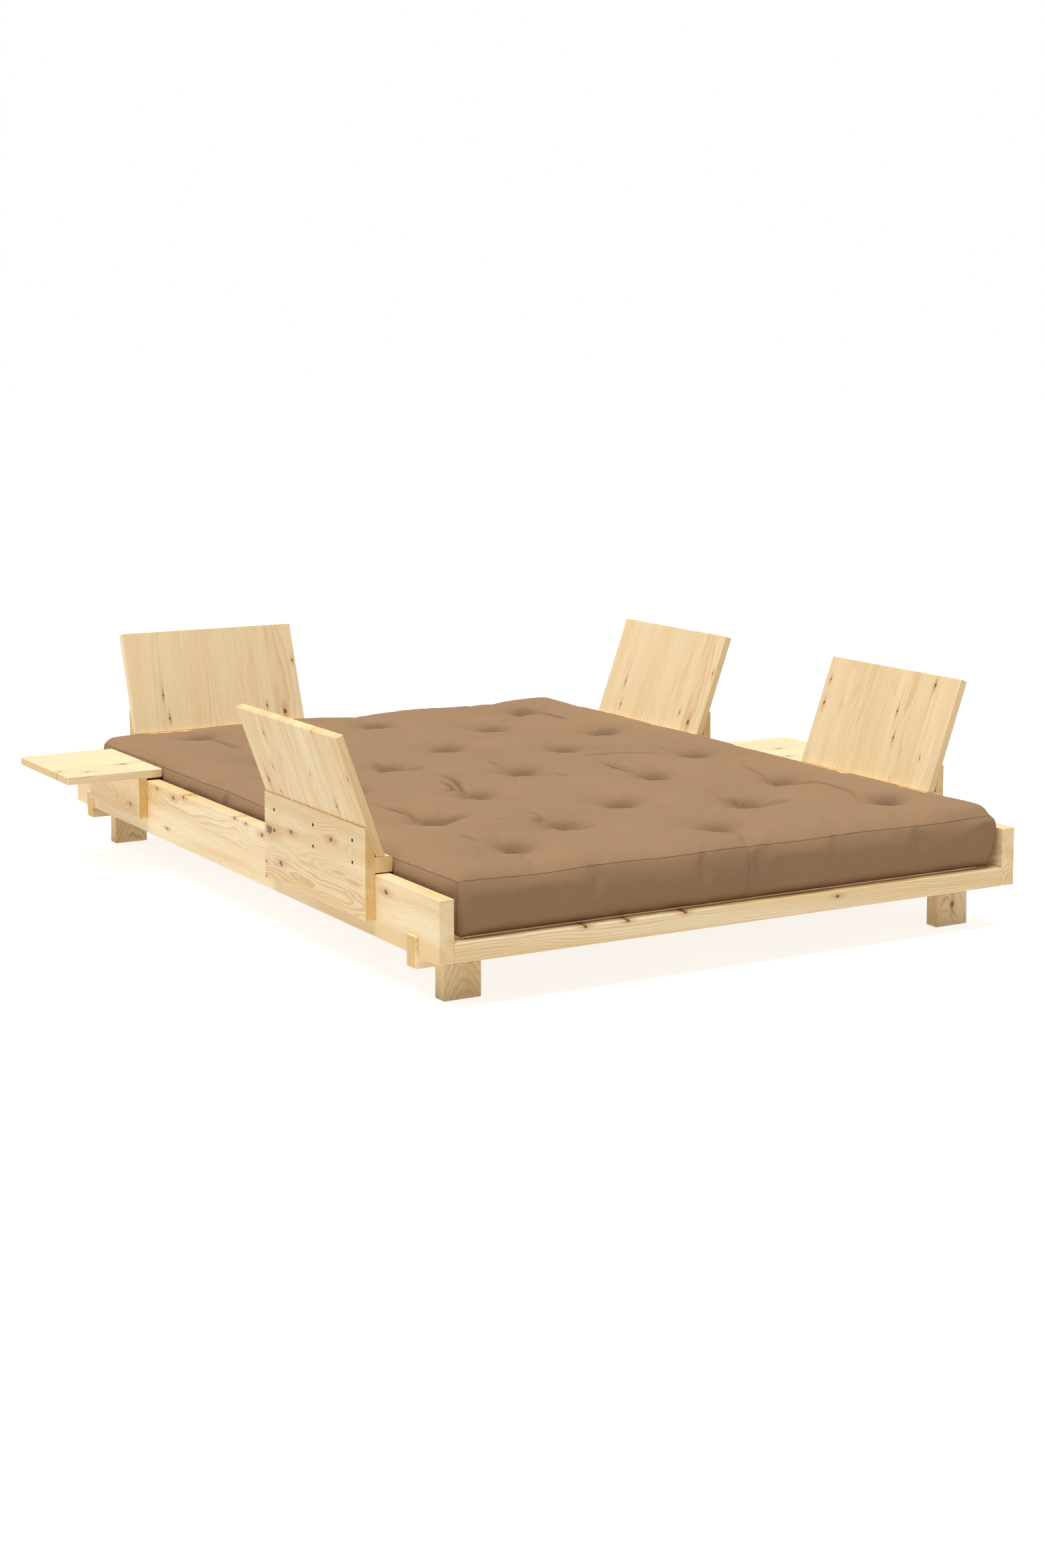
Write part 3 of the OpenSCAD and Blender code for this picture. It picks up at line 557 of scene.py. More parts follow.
def futon_shell(box, tuft_depth, cell=0.0096, rounding=0.018):
    """A grid of quads in the shape of a boxed cushion, open underneath. The top is a rectangle
    whose corner squares are turned to quarter discs, p' = p sqrt(1 - q^2/2). Its height is the
    seam height plus 1 - (1 - d/34 mm)^3 of the crown, over the distance d from the edge, plus
    lumps, less broad hollows and, at each tie, depth (0.6 exp(-(r/26 mm)^2) + 0.4
    exp(-(r/60 mm)^2)). The crown is 20.5 mm, and 28.5 mm towards the right. The side hangs from
    its rim in rings that follow PROFILE, less the puckers, which end at a quarter of the height,
    down to a flat open edge. Returns points, faces, the cloth's own coordinates, how firmly each
    point is held, the tied points and the rings from the rim down."""
    low, high = np.array(box[0]), np.array(box[1])
    middle, half = (low + high) / 2.0, (high - low) / 2.0 - 0.001
    count = np.round(2.0 * half[:2] / cell).astype(int)
    x, y = np.meshgrid(*(np.linspace(-h, h, n + 1) for h, n in zip(half, count)), indexing="ij")
    p, q = (np.clip((np.abs(v) - (h - rounding)) / rounding, 0.0, 1.0)
            for v, h in ((x, half[0]), (y, half[1])))
    x, y = (np.sign(v) * (np.minimum(np.abs(v), h - rounding)
                          + rounding * mine * np.sqrt(1 - other * other / 2))
            for v, h, mine, other in ((x, half[0], p, q), (y, half[1], q, p)))
    inside = from_edge(x, y, half[0], half[1], rounding)
    crown = 0.0205 + 0.008 * smooth((x - 0.42) / 0.18)
    z = SEAM_HEIGHT + crown * (1.0 - (1.0 - np.clip(inside / 0.034, 0.0, 1.0)) ** 3)
    z += lumps(x, y) * smooth(inside / 0.05) + 0.0012 * np.sin(19.0 * x + 11.0 * y)
    corner_mm = (low[:2] - middle[:2]) * 1000.0
    for place_x, place_y, depth, radius in HOLLOWS:
        reach = np.hypot(x * 1000 - corner_mm[0] - place_x, y * 1000 - corner_mm[1] - place_y)
        z -= depth / 1000 * bell(reach, radius) * smooth(inside / 0.03)
    ties = (TUFTS + corner_mm) / 1000.0
    for tie in ties:
        r = np.hypot(x - tie[0], y - tie[1])
        z -= tuft_depth * (0.6 * bell(r, 0.026) + 0.4 * bell(r, 0.060))

    across, along = count + 1
    ids = np.arange(across * along).reshape(across, along)
    rim = np.concatenate([ids[:-1, 0], ids[-1, :-1], ids[:0:-1, -1], ids[0, :0:-1]])
    top = np.stack([x.ravel(), y.ravel(), z.ravel()], -1)
    edge = top[rim]
    run = np.roll(edge, -1, 0)[:, :2] - np.roll(edge, 1, 0)[:, :2]
    out = np.stack([run[:, 1], -run[:, 0]], -1) / np.linalg.norm(run, axis=1)[:, None]
    round_rim = np.cumsum(np.linalg.norm(run, axis=1)) / 2.0
    sway = 1.0 + 0.35 * np.sin(9.0 * round_rim) + 0.2 * np.sin(23.0 * round_rim + 1.0)
    sway = np.where(np.abs(out[:, 1]) > 0.9, END_SWELL, 1.0) * sway
    rings = []
    for bulge, share in PROFILE:
        give = bulge / 1000.0 * (sway if bulge > 0.0 else np.ones(len(out)))
        for place, depth, width in PUCKERS:
            give = give - (depth / 1000.0 * max(share - 0.25, 0.0)
                           * bell(round_rim * 1000.0 - place, width))
        ring = edge[:, :2] + out * give[:, None]
        rings.append(np.column_stack([ring, edge[:, 2] * share]))
    points = np.concatenate([top, *rings])

    loops = [rim] + [len(top) + k * len(rim) + np.arange(len(rim)) for k in range(len(rings))]
    quads = [np.stack([ids[:-1, :-1], ids[1:, :-1], ids[1:, 1:], ids[:-1, 1:]], -1).reshape(-1, 4)]
    cloth = [points[quads[0]][..., :2]]
    start = round_rim - round_rim[0]
    stop = start + np.diff(round_rim, append=0.011)  # the last quad runs back to the start
    for k, (upper, lower) in enumerate(zip(loops, loops[1:])):
        quads.append(np.stack([lower, np.roll(lower, -1), np.roll(upper, -1), upper], -1))
        drop = np.array([k + 1, k + 1, k, k]) * RING_GAP
        cloth.append(np.stack([np.stack([start, stop, stop, start], -1),
                               np.broadcast_to(-drop, (len(rim), 4))], -1))
    cloth = np.concatenate([c.reshape(-1, 2) for c in cloth])
    held = np.zeros(len(points))
    held[len(top) + FREE_RINGS * len(rim):] = 1.0
    held[rim] = 0.35
    tied = [int(np.argmin(np.hypot(top[:, 0] - tie[0], top[:, 1] - tie[1]))) for tie in ties]
    held[tied] = 1.0
    points += (middle[0], middle[1], low[2])
    return points, np.concatenate(quads).tolist(), cloth, held, tied, loops


def swell(points, faces, held, ties, pressure, cap):
    """Fills the cover: Blender's cloth, 0.8% looser than the shell and blown up from inside for 20
    frames while its lower edge and ties are held. A point then moves no further than the cap, and
    by 1 - exp(-(r/38 mm)^2) of that at a distance r from the nearest tie."""
    scene = bpy.context.scene
    mesh = bpy.data.meshes.new("filling")
    mesh.from_pydata(points.tolist(), [], faces)
    cover = bpy.data.objects.new("filling", mesh)
    scene.collection.objects.link(cover)
    firm = cover.vertex_groups.new(name="held")
    for weight in np.unique(held[held > 0.0]):
        firm.add(np.flatnonzero(held == weight).tolist(), float(weight), "REPLACE")
    cloth = cover.modifiers.new("filling", "CLOTH")
    cloth.point_cache.frame_start, cloth.point_cache.frame_end = 1, SWELL_FRAMES
    for setting, value in (("vertex_group_mass", "held"), ("quality", 3), ("mass", 0.4),
                           ("bending_stiffness", 1.0), ("shrink_min", -0.008),
                           ("use_pressure", True), ("uniform_pressure_force", pressure)):
        setattr(cloth.settings, setting, value)
    cloth.settings.effector_weights.gravity = 0.0
    for frame_number in range(1, SWELL_FRAMES + 1):
        scene.frame_set(frame_number)
    swollen = cover.evaluated_get(bpy.context.evaluated_depsgraph_get()).to_mesh()
    moved = np.empty(len(swollen.vertices) * 3)
    swollen.vertices.foreach_get("co", moved)
    bpy.data.objects.remove(cover)
    scene.frame_set(1)
    step = moved.reshape(-1, 3) - points
    far = np.linalg.norm(step, axis=1)[:, None]
    r = np.min([np.linalg.norm(points - points[tie], axis=1) for tie in ties], axis=0)[:, None]
    free = np.minimum(1.0, cap / np.maximum(far, 1e-9)) * (1.0 - bell(r, 0.038))
    return points + step * free


def refine(piece):
    """One subdivision, applied, then a flat underside across the open lower edge."""
    fine = piece.modifiers.new("fine", "SUBSURF")
    fine.levels = fine.render_levels = render_levels
    smoothed = bpy.data.meshes.new_from_object(
        piece.evaluated_get(bpy.context.evaluated_depsgraph_get()))
    piece.modifiers.remove(fine)
    shell = bmesh.new()
    shell.from_mesh(smoothed)
    bmesh.ops.holes_fill(shell, edges=[edge for edge in shell.edges if edge.is_boundary], sides=0)
    shell.to_mesh(smoothed)
    shell.free()
    smoothed.name = piece.name
    piece.data = smoothed


def read_points(piece):
    """The points of a mesh as an array."""
    flat = np.empty(len(piece.data.vertices) * 3)
    piece.data.vertices.foreach_get("co", flat)
    return flat.reshape(-1, 3)


def write_points(piece, points):
    """Puts an array back into a mesh's points."""
    piece.data.vertices.foreach_set("co", points.ravel())
    piece.data.update()


def curve_through(marks, steps=14):
    """Points along a Catmull-Rom curve: half of 2b + (c-a)t + (2a-5b+4c-d)t^2 + (3b-a-3c+d)t^3."""
    marks = np.array(marks, float)
    ends = np.vstack([2 * marks[0] - marks[1], marks, 2 * marks[-1] - marks[-2]])
    t = np.linspace(0.0, 1.0, steps, endpoint=False)[None, :, None]
    a, b, c, d = (ends[k : k + len(marks) - 1, None] for k in range(4))
    curve = 0.5 * (2 * b + (c - a) * t + (2 * a - 5 * b + 4 * c - d) * t**2
                   + (3 * b - a - 3 * c + d) * t**3)
    return np.vstack([curve.reshape(-1, marks.shape[1]), marks[-1]])


def press_folds(points, low, tuft_depth):
    """Draws the ties and folds into the cover. A tie sinks by 3/4 of its depth times exp(-r/12 mm),
    where r is shortened by 4 mm times the sine of the angle towards the head, so the near lip is
    the steeper one, and it ends 70 mm from the tie. A fold is a valley exp(-(d/w)^2) with a softer
    ridge on its left, 0.75 exp(-((d - 2w)/1.3w)^2). It keeps its depth from its tie, widens on its
    way and runs out over its last 45%. Returns the points and how deep in a tie or fold each lies,
    from 0 to 1."""
    tucked = np.zeros(len(points))
    flat = (points[:, :2] - low[:2]) * 1000.0
    upper = points[:, 2] > low[2] + TOP_FROM
    for tie in TUFTS:
        apart = flat - tie
        r = np.hypot(apart[:, 0], apart[:, 1])
        lip = np.maximum(r - 4.0 * apart[:, 1] / np.maximum(r, 1.0), 0.0)
        points[:, 2] -= upper * 0.75 * tuft_depth * np.exp(-lip / 12.0) * smooth((70.0 - r) / 40.0)
        aside, behind = ((apart - DARK_MIDDLE) / DARK_SPREAD).T
        tucked = np.maximum(tucked, upper * bell(np.hypot(aside, behind), 1.0))
    for depth, width, *marks in FOLDS:
        path = curve_through(marks)
        reach = 6 * width
        near = upper & np.all((flat > path.min(0) - reach) & (flat < path.max(0) + reach), axis=1)
        here = flat[near][:, None]
        run = path[1:] - path[:-1]
        along = np.clip(((here - path[:-1]) * run).sum(-1) / (run**2).sum(-1), 0.0, 1.0)
        apart = here - (path[:-1] + along[..., None] * run)
        gap = np.hypot(apart[..., 0], apart[..., 1])
        best = gap.argmin(1)
        rows = np.arange(len(best))
        d = gap[rows, best]
        side = np.sign(run[best, 0] * apart[rows, best, 1] - run[best, 1] * apart[rows, best, 0])
        share = (best + along[rows, best]) / len(run)
        fade = smooth((1.0 - share) / 0.45)
        w = width * (0.8 + 0.5 * share)
        valley = bell(d, w) - 0.75 * bell(side * d - 2.0 * w, 1.3 * w)
        points[near, 2] -= depth / (1000.0 * FOLD_SHARE) * fade * valley
        tucked[near] = np.maximum(tucked[near], depth / DARK_FOLD * fade * bell(d, 0.8 * w))
    return points, np.clip(tucked, 0.0, 1.0)


def thread_run(path, radius, closed=False, sides=6):
    """A thread: a circle of the given radius carried along a path, in the plane across its run.
    Each ring is p + r (cos a n + sin a b), where n is across the run and level, and b = t x n."""
    path = np.asarray(path)
    if closed:
        run = np.roll(path, -1, 0) - np.roll(path, 1, 0)
    else:
        run = np.gradient(path, axis=0)
    t = run / np.linalg.norm(run, axis=1)[:, None]
    level = np.where(np.abs(t[:, 2:]) > 0.9, X, Z)
    n = np.cross(t, level)
    n /= np.linalg.norm(n, axis=1)[:, None]
    b = np.cross(t, n)
    a = np.linspace(0.0, 2.0 * math.pi, sides, endpoint=False)[None, :, None]
    points = path[:, None] + radius * (np.cos(a) * n[:, None] + np.sin(a) * b[:, None])
    ids = np.arange(len(path) * sides).reshape(len(path), sides)
    turned = np.roll(ids, -1, 1)
    faces = np.stack([ids, turned, np.roll(turned, -1, 0), np.roll(ids, -1, 0)], -1)
    if closed:
        return points.reshape(-1, 3), faces.reshape(-1, 4).tolist()
    ends = [ids[0, ::-1].tolist(), ids[-1].tolist()]
    return points.reshape(-1, 3), faces[:-1].reshape(-1, 4).tolist() + ends


def joined(runs):
    """Several meshes as one: the points end to end, and each face's numbers moved up."""
    points, faces, first = [], [], 0
    for run_points, run_faces in runs:
        points.append(run_points)
        faces += [[first + corner for corner in face] for face in run_faces]
        first += len(run_points)
    return np.concatenate(points), faces


def new_piece(name, points, faces, material, body):
    """A mesh object at the origin, smooth, in its material, riding on a body."""
    mesh = bpy.data.meshes.new(name)
    mesh.from_pydata(np.asarray(points).tolist(), [], faces)
    mesh.polygons.foreach_set("use_smooth", [True] * len(mesh.polygons))
    mesh.materials.append(material)
    piece = bpy.data.objects.new(name, mesh)
    bpy.context.scene.collection.objects.link(piece)
    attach(piece, body)
    return piece


def cotton_drill(name, cover, depth):
    """Brown-dyed cotton drill, twill-woven: matt, with a faint nap, thick and thin yarns and a
    slightly cloudy dye. The twill line is about 1 mm apart, drawn 2.4 mm apart so that it shows.
    Depth is the brightness of the cloth, which is less where the twill runs down the side. Cloth
    tucked into a tie or fold is darker, as its nap is crushed and keeps the dust."""
    material, tree, shader, where = new_material(name)
    cloth = add(tree, "UVMap", uv_map="cloth")
    mm = add(tree, "Mapping", {"Vector": cloth, "Scale": (1000.0, 1000.0, 1000.0)})
    drift = add(tree, "TexNoise", {"Vector": mm, "Scale": 0.08, "Detail": 2.0})
    shifted = add(tree, "VectorMath", {0: drift.outputs["Color"], 1: (1.6, 1.6, 0.0), 2: mm},
                  operation="MULTIPLY_ADD")
    twill_step = 1.7  # x + y grows by twice this from one line to the next
    twill = add(tree, "TexWave", {"Vector": shifted, "Scale": 2.0 * math.pi / (20.0 * twill_step),
                "Distortion": 0.6, "Detail": 1.0, "Detail Scale": 0.3}, bands_direction="DIAGONAL")
    warp = stretched_noise(tree, mm, (0.55, 0.035, 1.0), 2.0)
    weft = stretched_noise(tree, mm, (0.035, 0.55, 1.0), 2.0)
    yarns = add(tree, "Math", {0: warp, 1: weft}, operation="ADD")
    cloud = add(tree, "TexNoise", {"Vector": where["Object"], "Scale": 5.0, "Detail": 3.0,
                "Roughness": 0.55})
    shade = add(tree, "MapRange", {"Value": yarns, 1: 0.6, 2: 1.4, 3: 0.955 * depth,
                4: 1.045 * depth})
    tucked = add(tree, "Attribute", attribute_name="tucked", attribute_type="GEOMETRY")
    for pattern, start, stop, before, after in (
            (cloud, 0.3, 0.7, 0.965, 1.035), (twill, 0.0, 1.0, 0.985, 1.015),
            (tucked.outputs["Fac"], 0.0, 1.0, 1.0, 0.6)):
        dulled = add(tree, "MapRange", {"Value": pattern, 1: start, 2: stop, 3: before, 4: after})
        shade = add(tree, "Math", {0: shade, 1: dulled}, operation="MULTIPLY")
    high = add(tree, "Math", {0: twill, 1: 0.5, 2: yarns}, operation="MULTIPLY_ADD")
    fine = add(tree, "Bump", {"Strength": 0.35, "Distance": 0.0005, "Height": high})
    rumple = add(tree, "TexNoise", {"Vector": where["Object"], "Scale": 28.0, "Detail": 3.0,
                 "Roughness": 0.5})
    plug(tree, shader, {
        "Base Color": add(tree, "HueSaturation", {"Value": shade, "Color": tuple(cover.cotton)}),
        "Normal": add(tree, "Bump", {"Strength": 0.35, "Distance": 0.003, "Height": rumple,
                      "Normal": fine}),
        "Roughness": 0.92, "Specular IOR Level": 0.25, "Sheen Weight": 0.12,
        "Sheen Roughness": 0.45, "Sheen Tint": to_linear("#C8AC8E")})
    return material


def cotton_thread(cover):
    """Twisted cotton sewing thread, a shade darker than the cover: matt, with the lie of its twist
    drawn 1.5 mm long."""
    material, tree, shader, where = new_material("cotton_thread")
    twist = add(tree, "TexWave", {"Vector": where["Object"], "Scale": 210.0, "Distortion": 1.5},
                bands_direction="DIAGONAL")
    plug(tree, shader, {
        "Base Color": tinted(tree, cover.thread, twist, 0.85, 1.12), "Roughness": 0.85,
        "Normal": add(tree, "Bump", {"Strength": 0.4, "Distance": 0.0005, "Height": twist})})
    return material


# ---- operators ----

# The stage, in metres and degrees.
FLOOR_RINGS = (0.4, 0.8, 1.2, 1.8, 3.0, 6.0, 12.0, 24.0, 48.0)
FLOOR_SPOKES = 96
GLOW_ON_OBJECT = 0.46  # the share of the table's glow that lights the object
SOFTBOX_SPREAD, SOFTBOX_AIM = 42.0, (0.22, 0.06, -1.0)
CAMERA_PLACE, CAMERA_TURN = (-3.070081, -5.423898, 1.367662), (83.0, 0.0, -30.08151)
CAMERA_SHIFT = -0.09224
SENSOR_WIDTH = 36.0  # mm
WHITE = (1.0, 1.0, 1.0, 1.0)


class BED_OT_stage(bpy.types.Operator):
    """Floor, soft light and camera"""

    bl_idname = "pine_bed.stage"
    bl_label = "Stage"

    def execute(self, context):
        stage, scene = context.scene.bed_stage, context.scene
        angle = np.linspace(0.0, 2.0 * math.pi, FLOOR_SPOKES, endpoint=False)
        flat = np.stack([np.outer(FLOOR_RINGS, np.cos(angle)),
                         np.outer(FLOOR_RINGS, np.sin(angle))], -1)
        points = np.concatenate([[[0.0, 0.0]], flat.reshape(-1, 2)])
        points = np.column_stack([points, np.zeros(len(points))])
        around = 1 + np.arange(FLOOR_SPOKES)
        beside = 1 + around % FLOOR_SPOKES
        quads = [np.stack([around, around + FLOOR_SPOKES, beside + FLOOR_SPOKES, beside], -1)
                 + ring * FLOOR_SPOKES for ring in range(len(FLOOR_RINGS) - 1)]
        fan = np.stack([np.zeros(FLOOR_SPOKES, int), around, beside], -1)
        mesh = bpy.data.meshes.new("studio_floor")
        mesh.from_pydata(points.tolist(), [], fan.tolist() + np.concatenate(quads).tolist())
        floor = bpy.data.objects.new("studio_floor", mesh)
        scene.collection.objects.link(floor)
        # Opal acrylic: the milky, matt sheet of a shooting table, lit from below.
        sheet, tree, shader, where = new_material("opal_acrylic")
        tooth = add(tree, "TexNoise", {"Vector": where["Object"], "Scale": 3.0})
        seen = add(tree, "LightPath").outputs["Is Camera Ray"]
        glow = add(tree, "MapRange", {"Value": seen, 3: GLOW_ON_OBJECT * stage.glow, 4: stage.glow})
        plug(tree, shader, {
            "Base Color": tinted(tree, stage.floor, tooth, 0.985, 1.0), "Emission Color": WHITE,
            "Emission Strength": glow, "Roughness": 0.95, "Specular IOR Level": 0.1})
        mesh.materials.append(sheet)

        world = bpy.data.worlds.new("studio")
        world.use_nodes = True
        scene.world = world
        tree = world.node_tree
        seen, room = (add(tree, "Background", {"Color": WHITE, "Strength": strength})
                      for strength in (1.0, stage.fill))
        ray = add(tree, "LightPath").outputs["Is Camera Ray"]
        plug(tree, tree.nodes["World Output"],
             {"Surface": add(tree, "MixShader", {0: ray, 1: room, 2: seen})})

        lamp = bpy.data.lights.new("overhead_softbox", "SUN")
        lamp.energy, lamp.angle = stage.key, math.radians(SOFTBOX_SPREAD)
        softbox = bpy.data.objects.new("overhead_softbox", lamp)
        softbox.rotation_euler = Vector(SOFTBOX_AIM).to_track_quat("-Z", "Y").to_euler()
        scene.collection.objects.link(softbox)

        lens = bpy.data.cameras.new("camera")
        lens.lens, lens.sensor_width, lens.shift_y = stage.lens, SENSOR_WIDTH, CAMERA_SHIFT
        lens.clip_start, lens.clip_end = 0.1, 200.0
        camera = bpy.data.objects.new("camera", lens)
        camera.location = CAMERA_PLACE
        camera.rotation_euler = [math.radians(turn) for turn in CAMERA_TURN]
        scene.collection.objects.link(camera)
        scene.camera = camera
        scene.view_settings.view_transform = "Standard"
        return {"FINISHED"}


class BED_OT_frame_timbers(bpy.types.Operator):
    """Rails, cross beams, centre beam and legs in lacquered pine"""

    bl_idname = "pine_bed.frame_timbers"
    bl_label = "Frame timbers"

    def execute(self, context):
        finish = context.scene.bed_pine
        saw(["left_side_rail"], "pine_left_rail", finish, Y, Z, 1.0, (30.0, -70.0), wave=60.0,
            knots=[(234, 106, 6, 26), (1015, 130, 4, 12), (950, 128, 4, 16), (860, 117, 6, 24),
                   (1499, 124, 4, 16), (1393, 117, 6, 24), (1327, 130, 5, 10), (1436, 33, 4, 50)],
            contrast=0.3, end_tint=0.1, warmth=1.3)
        saw(["right_side_rail"], "pine_right_rail", finish, Y, Z, 2.0, (80.0, -60.0), wave=60.0,
            knots=[(70, 40, 7, 30), (410, 96, 6, 30), (905, 50, 8, 30), (1310, 88, 6, 20),
                   (1770, 40, 7, 40)], contrast=0.3, end_tint=0.1)
        saw(["foot_rail"], "pine_foot_rail", finish, X, Z, 3.0, (-60.0, 20.0), wave=40.0,
            knots=[(309, 40, 4, 16), (413, 40, 4, 14), (558, 41, 4, 16), (960, 30, 4, 16)],
            contrast=0.4)
        saw(["head_rail"], "pine_head_rail", finish, X, Z, 4.0, (60.0, 60.0), wave=60.0,
            knots=[(190, 90, 8, 30), (620, 50, 7, 30), (980, 100, 8, 30), (1290, 30, 6, 20)])
        saw(["foot_cross_beam", "head_cross_beam"], "pine_cross_beams", finish, X, Z, 5.0,
            (90.0, -40.0), wave=30.0, knots=[(330, 20, 6, 20), (1100, 40, 6, 20)])
        saw(["centre_beam"], "pine_centre_beam", finish, Y, Z, 6.0, (70.0, -50.0), wave=30.0,
            knots=[(420, 24, 6, 20), (1300, 12, 6, 20)])
        for number, leg in enumerate(("foot_left_leg", "foot_right_leg", "head_left_leg",
                                      "head_right_leg", "centre_leg")):
            saw([leg], f"pine_{leg}", finish, Z, X, 7.0 + number, (58.0, -14.0), wave=22.0,
                taper=0.22, knots=[(50, 45, 6, 40)] if leg == "foot_right_leg" else [],
                contrast=0.62)
        return {"FINISHED"}


class BED_OT_slats(bpy.types.Operator):
    """Slats, the ledges under their ends and the tape that spaces them"""

    bl_idname = "pine_bed.slats"
    bl_label = "Slats"

    def execute(self, context):
        finish = context.scene.bed_pine
        pitch = (corner("slat_02", 0, 0, 0) - corner("slat_01", 0, 0, 0)).y * 1000.0
        saw([f"slat_{n:02d}" for n in range(1, 11)], "pine_slats", finish, X, Y, 15.0,
            (40.0, -50.0), wave=50.0, stave=pitch, spread=0.8,
            knots=[(260, 40, 8, 30), (900, 220, 8, 20), (500, 400, 7, 20), (1200, 580, 8, 20),
                   (300, 900, 7, 30)])
        saw(["left_slat_ledge", "right_slat_ledge"], "pine_ledges", finish, Y, X, 16.0,
            (30.0, -40.0), wave=30.0)
        dress(["slat_webbing"], woven_tape(context.scene.bed_steel))
        return {"FINISHED"}


PANEL_LEAN = math.radians(20.0)
PANEL_FOOT = 0.0205  # metres across a leaning panel's lower edge, measured level
BACK = (0.0, -1.0, 0.0)


class BED_OT_backrests(bpy.types.Operator):
    """The four hang-on backrests: outer board, cleat and leaning panel"""

    bl_idname = "pine_bed.backrests"
    bl_label = "Backrests"

    def execute(self, context):
        finish = context.scene.bed_pine
        lean, rise = math.sin(PANEL_LEAN), math.cos(PANEL_LEAN)
        pith = (30.0, -34.0)
        outer_foot = corner("left_back_panel", 1, 0, 0) - Vector((PANEL_FOOT, 0.0, 0.0))
        plain = dict(wave=44.0, stave=84.6, gap=8.4, contrast=0.24, end_tint=0.08)
        figured = dict(plain, warmth=0.55, knots=[(103, 95, 3, 120), (36, 105, 3, 60),
                       (51, 400, 3, 18), (30, 452, 6, 28), (176, 498, 3, 12)])
        dress(["left_back_panel"], lacquered_pine(
            "pine_left_panel", finish, outer_foot, (-lean, 0.0, rise), Y, 21.0, pith, warmth=1.3,
            knots=[(228, 393, 4, 20), (271, 116, 2, 14), (145, 409, 3, 20), (103, 464, 6, 34),
                   (81, 413, 3, 20), (180, 9, 3, 16), (98, 120, 4, 30), (160, 205, 2, 16)],
            **plain))
        saw(["head_back_panel"], "pine_head_panel", finish, (0.0, lean, rise), X, 22.0, pith,
            **dict(figured, warmth=0.42, contrast=0.2))
        saw(["far_back_panel"], "pine_far_panel", finish, (lean, 0.0, rise), BACK, 22.0, pith,
            pick=(0, 1, 0), **figured)
        saw(["right_back_panel"], "pine_right_panel", finish, (lean, 0.0, rise), BACK, 23.0, pith,
            pick=(0, 1, 0), warmth=0.6,
            knots=[(223, 21, 3, 20), (161, 22, 4, 12), (258, 422, 4, 34), (177, 312, 3, 110),
                   (111, 326, 3, 80), (76, 443, 2, 14)], **plain)
        boards = (("left", Y, [(482, 113, 12, 30), (367, 127, 6, 16), (164, 146, 6, 20),
                               (505, 37, 4, 16), (422, 46, 7, 20), (507, 2, 4, 10)]),
                  ("right", Y, [(90, 120, 9, 30), (410, 40, 7, 20)]),
                  ("far", Y, [(200, 60, 8, 30), (440, 150, 6, 20)]),
                  ("head", X, [(120, 60, 8, 30), (330, 140, 6, 20)]))
        for number, (side, along, knots) in enumerate(boards):
            saw([f"{side}_back_board"], f"pine_{side}_board", finish, along, Z, 24.0 + number,
                (33.0, -12.0), wave=46.0, stave=66.0, knots=knots, contrast=0.42, end_tint=0.45,
                warmth=1.2)
            saw([f"{side}_back_cleat"], f"pine_{side}_cleat", finish, along, Z, 34.0 + number,
                (-30.0, -30.0), wave=20.0, end_tint=0.35)
        return {"FINISHED"}


class BED_OT_side_tables(bpy.types.Operator):
    """The two hang-on side tables: top and board"""

    bl_idname = "pine_bed.side_tables"
    bl_label = "Side tables"

    def execute(self, context):
        finish = context.scene.bed_pine
        for side, seed, knots in (("left", 41.0, [(190, 111, 7, 20), (257, 129, 6, 20),
                                  (69, 46, 5, 14), (8, 80, 4, 16)]),
                                  ("right", 42.0, [(120, 200, 6, 20), (70, 90, 5, 16)])):
            saw([f"{side}_table_top"], f"pine_{side}_table_top", finish, X, Y, seed, (44.0, 34.0),
                wave=40.0, stave=88.25, knots=knots, warmth=0.25)
            saw([f"{side}_table_board"], f"pine_{side}_table_board", finish, Y, Z, seed + 2.0,
                (60.0, -20.0), wave=40.0, knots=[(60, 30, 5, 16)])
        return {"FINISHED"}


class BED_OT_fittings(bpy.types.Operator):
    """Steel hooks, screws and brackets, and the beech dowels"""

    bl_idname = "pine_bed.fittings"
    bl_label = "Fittings"

    def execute(self, context):
        steel = context.scene.bed_steel
        tables = ["left_table", "right_table"]
        units = [*tables, "left_back", "right_back", "far_back", "head_back"]
        dress([f"{unit}_hook" for unit in units], powder_coated_steel(steel))
        dress([f"{unit}_screws" for unit in units], blackened_screws(steel))
        dress([f"{table}_dowels" for table in tables], turned_beech(steel))
        dress(["corner_brackets", "bracket_screws", "leg_screws", "ledge_screws"],
              zinc_plated_steel(steel))
        return {"FINISHED"}


BAND_JOIN = 0.712  # metres from the left corner to the seam where the side band's ends meet
STITCH, TIE = 0.0006, 0.0011  # thread radii, metres
SEAM_LIFT, TIE_LIFT = 0.0001, 0.0008  # the middle of each thread above the cloth, metres
TIE_TURNS, TIE_REACH = (0.7, -0.9), 0.006  # a tie is two stitches that cross: radians, half length
TIE_AREA = 0.02  # metres round a tie in which its stitches look for the cloth


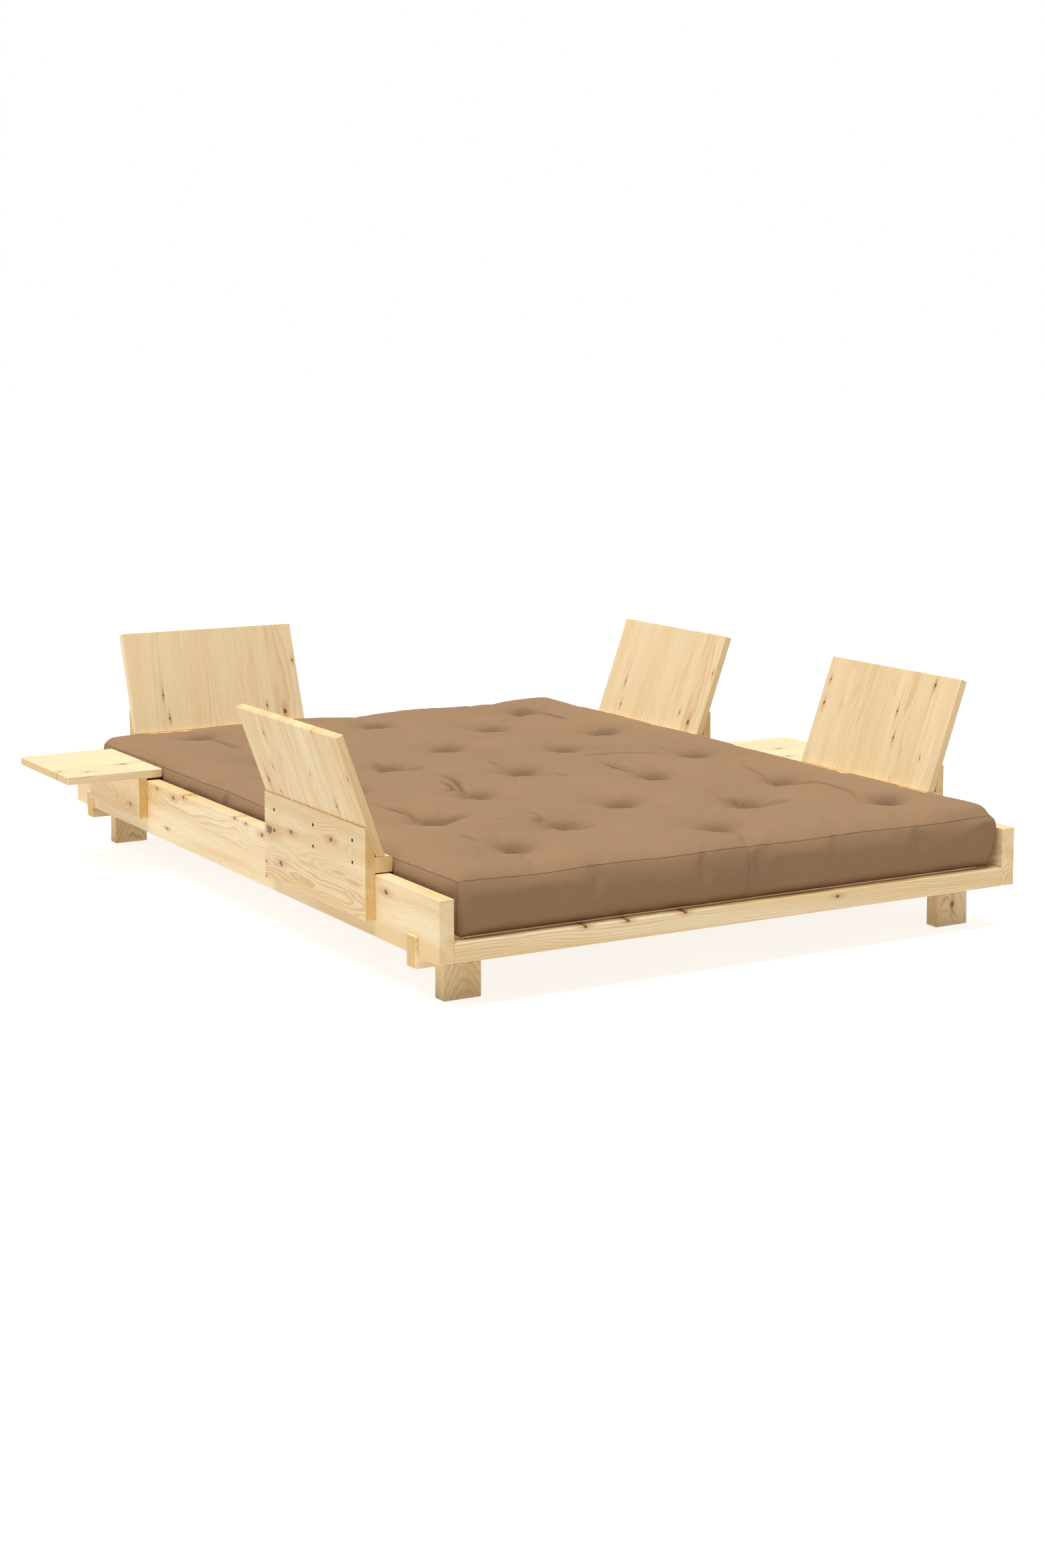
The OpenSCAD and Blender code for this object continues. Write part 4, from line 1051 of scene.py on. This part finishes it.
class BED_OT_futon(bpy.types.Operator):
    """The tufted futon mattress"""

    bl_idname = "pine_bed.futon"
    bl_label = "Futon mattress"

    def execute(self, context):
        cover = context.scene.bed_futon
        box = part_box("mattress")
        low, high = np.array(box[0]), np.array(box[1])
        points, faces, cloth, held, tied, loops = futon_shell(box, cover.tuft_depth)
        points = swell(points, faces, held, tied, cover.pressure, cover.swell_cap)
        futon = new_piece("futon", points, faces, cotton_drill("cotton_drill_top", cover, 1.0),
                          "mattress_body")
        futon.data.materials.append(cotton_drill("cotton_drill_band", cover, 0.92))
        band = np.arange(len(faces)) >= len(faces) - len(PROFILE) * len(loops[0])
        futon.data.polygons.foreach_set("material_index", band.astype(int))
        lie = futon.data.uv_layers.new(name="cloth")
        lie.uv.foreach_set("vector", cloth.ravel())
        refine(futon)
        points, tucked = press_folds(read_points(futon), low, cover.tuft_depth)
        points = np.clip(points, low - PROUD[0], high + PROUD[1])
        write_points(futon, points)
        futon.data.attributes.new("tucked", "FLOAT", "POINT").data.foreach_set("value", tucked)
        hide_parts("mattress")

        rim = points[loops[0]]
        runs = [thread_run(rim + (0.0, 0.0, SEAM_LIFT), STITCH, closed=True)]
        corners = [(x, y) for x in (low[0], high[0]) for y in (low[1], high[1])]
        for x, y in (*corners, (low[0] + BAND_JOIN, low[1])):
            column = np.argmin(np.hypot(rim[:, 0] - x, rim[:, 1] - y))
            runs.append(thread_run(points[[loop[column] for loop in loops[:-1]]], STITCH))
        along = np.linspace(-TIE_REACH, TIE_REACH, 5)[:, None]
        for turn in TIE_TURNS:
            reach = along * (math.cos(turn), math.sin(turn))
            for tie in low[:2] + TUFTS / 1000.0:
                here = tie + reach
                near = np.hypot(points[:, 0] - tie[0], points[:, 1] - tie[1]) < TIE_AREA
                bed = points[near & (points[:, 2] > low[2] + TOP_FROM)]
                rows = np.hypot(bed[:, 0] - here[:, :1], bed[:, 1] - here[:, 1:]).argmin(1)
                runs.append(thread_run(np.column_stack([here, bed[rows, 2] + TIE_LIFT]), TIE))
        seams = new_piece("futon_seams", *joined(runs), cotton_thread(cover), "mattress_body")
        return {"FINISHED"}


class BED_PT_sidebar(bpy.types.Panel):
    """Lists the bed's pieces in the sidebar"""

    bl_idname = "BED_PT_sidebar"
    bl_label = "Pine bed"
    bl_space_type = "VIEW_3D"
    bl_region_type = "UI"
    bl_category = "Pine Bed"

    def draw(self, context):
        for group in ("bed_pine", "bed_futon", "bed_steel", "bed_stage"):
            settings = getattr(context.scene, group)
            box = self.layout.box()
            for key in settings.__annotations__:
                box.prop(settings, key)
        for piece in PIECES:
            self.layout.operator(piece.bl_idname)


PIECES = (BED_OT_stage, BED_OT_fittings, BED_OT_frame_timbers, BED_OT_slats, BED_OT_backrests,
          BED_OT_side_tables, BED_OT_futon)
SETTINGS = (("bed_pine", PineFinish), ("bed_futon", FutonCover), ("bed_steel", SteelFinish),
            ("bed_stage", StageSettings))


def register():
    for name, settings in SETTINGS:
        bpy.utils.register_class(settings)
        setattr(bpy.types.Scene, name, bpy.props.PointerProperty(type=settings))
    for shown in (*PIECES, BED_PT_sidebar):
        bpy.utils.register_class(shown)


def unregister():
    for shown in reversed((*PIECES, BED_PT_sidebar)):
        bpy.utils.unregister_class(shown)
    for name, settings in reversed(SETTINGS):
        delattr(bpy.types.Scene, name)
        bpy.utils.unregister_class(settings)


def main():
    register()
    knot_group()
    figure_group()
    for piece in PIECES:
        section, name = piece.bl_idname.split(".")
        getattr(getattr(bpy.ops, section), name)()
    bpy.context.view_layer.update()


if __name__ == "__main__":
    main()
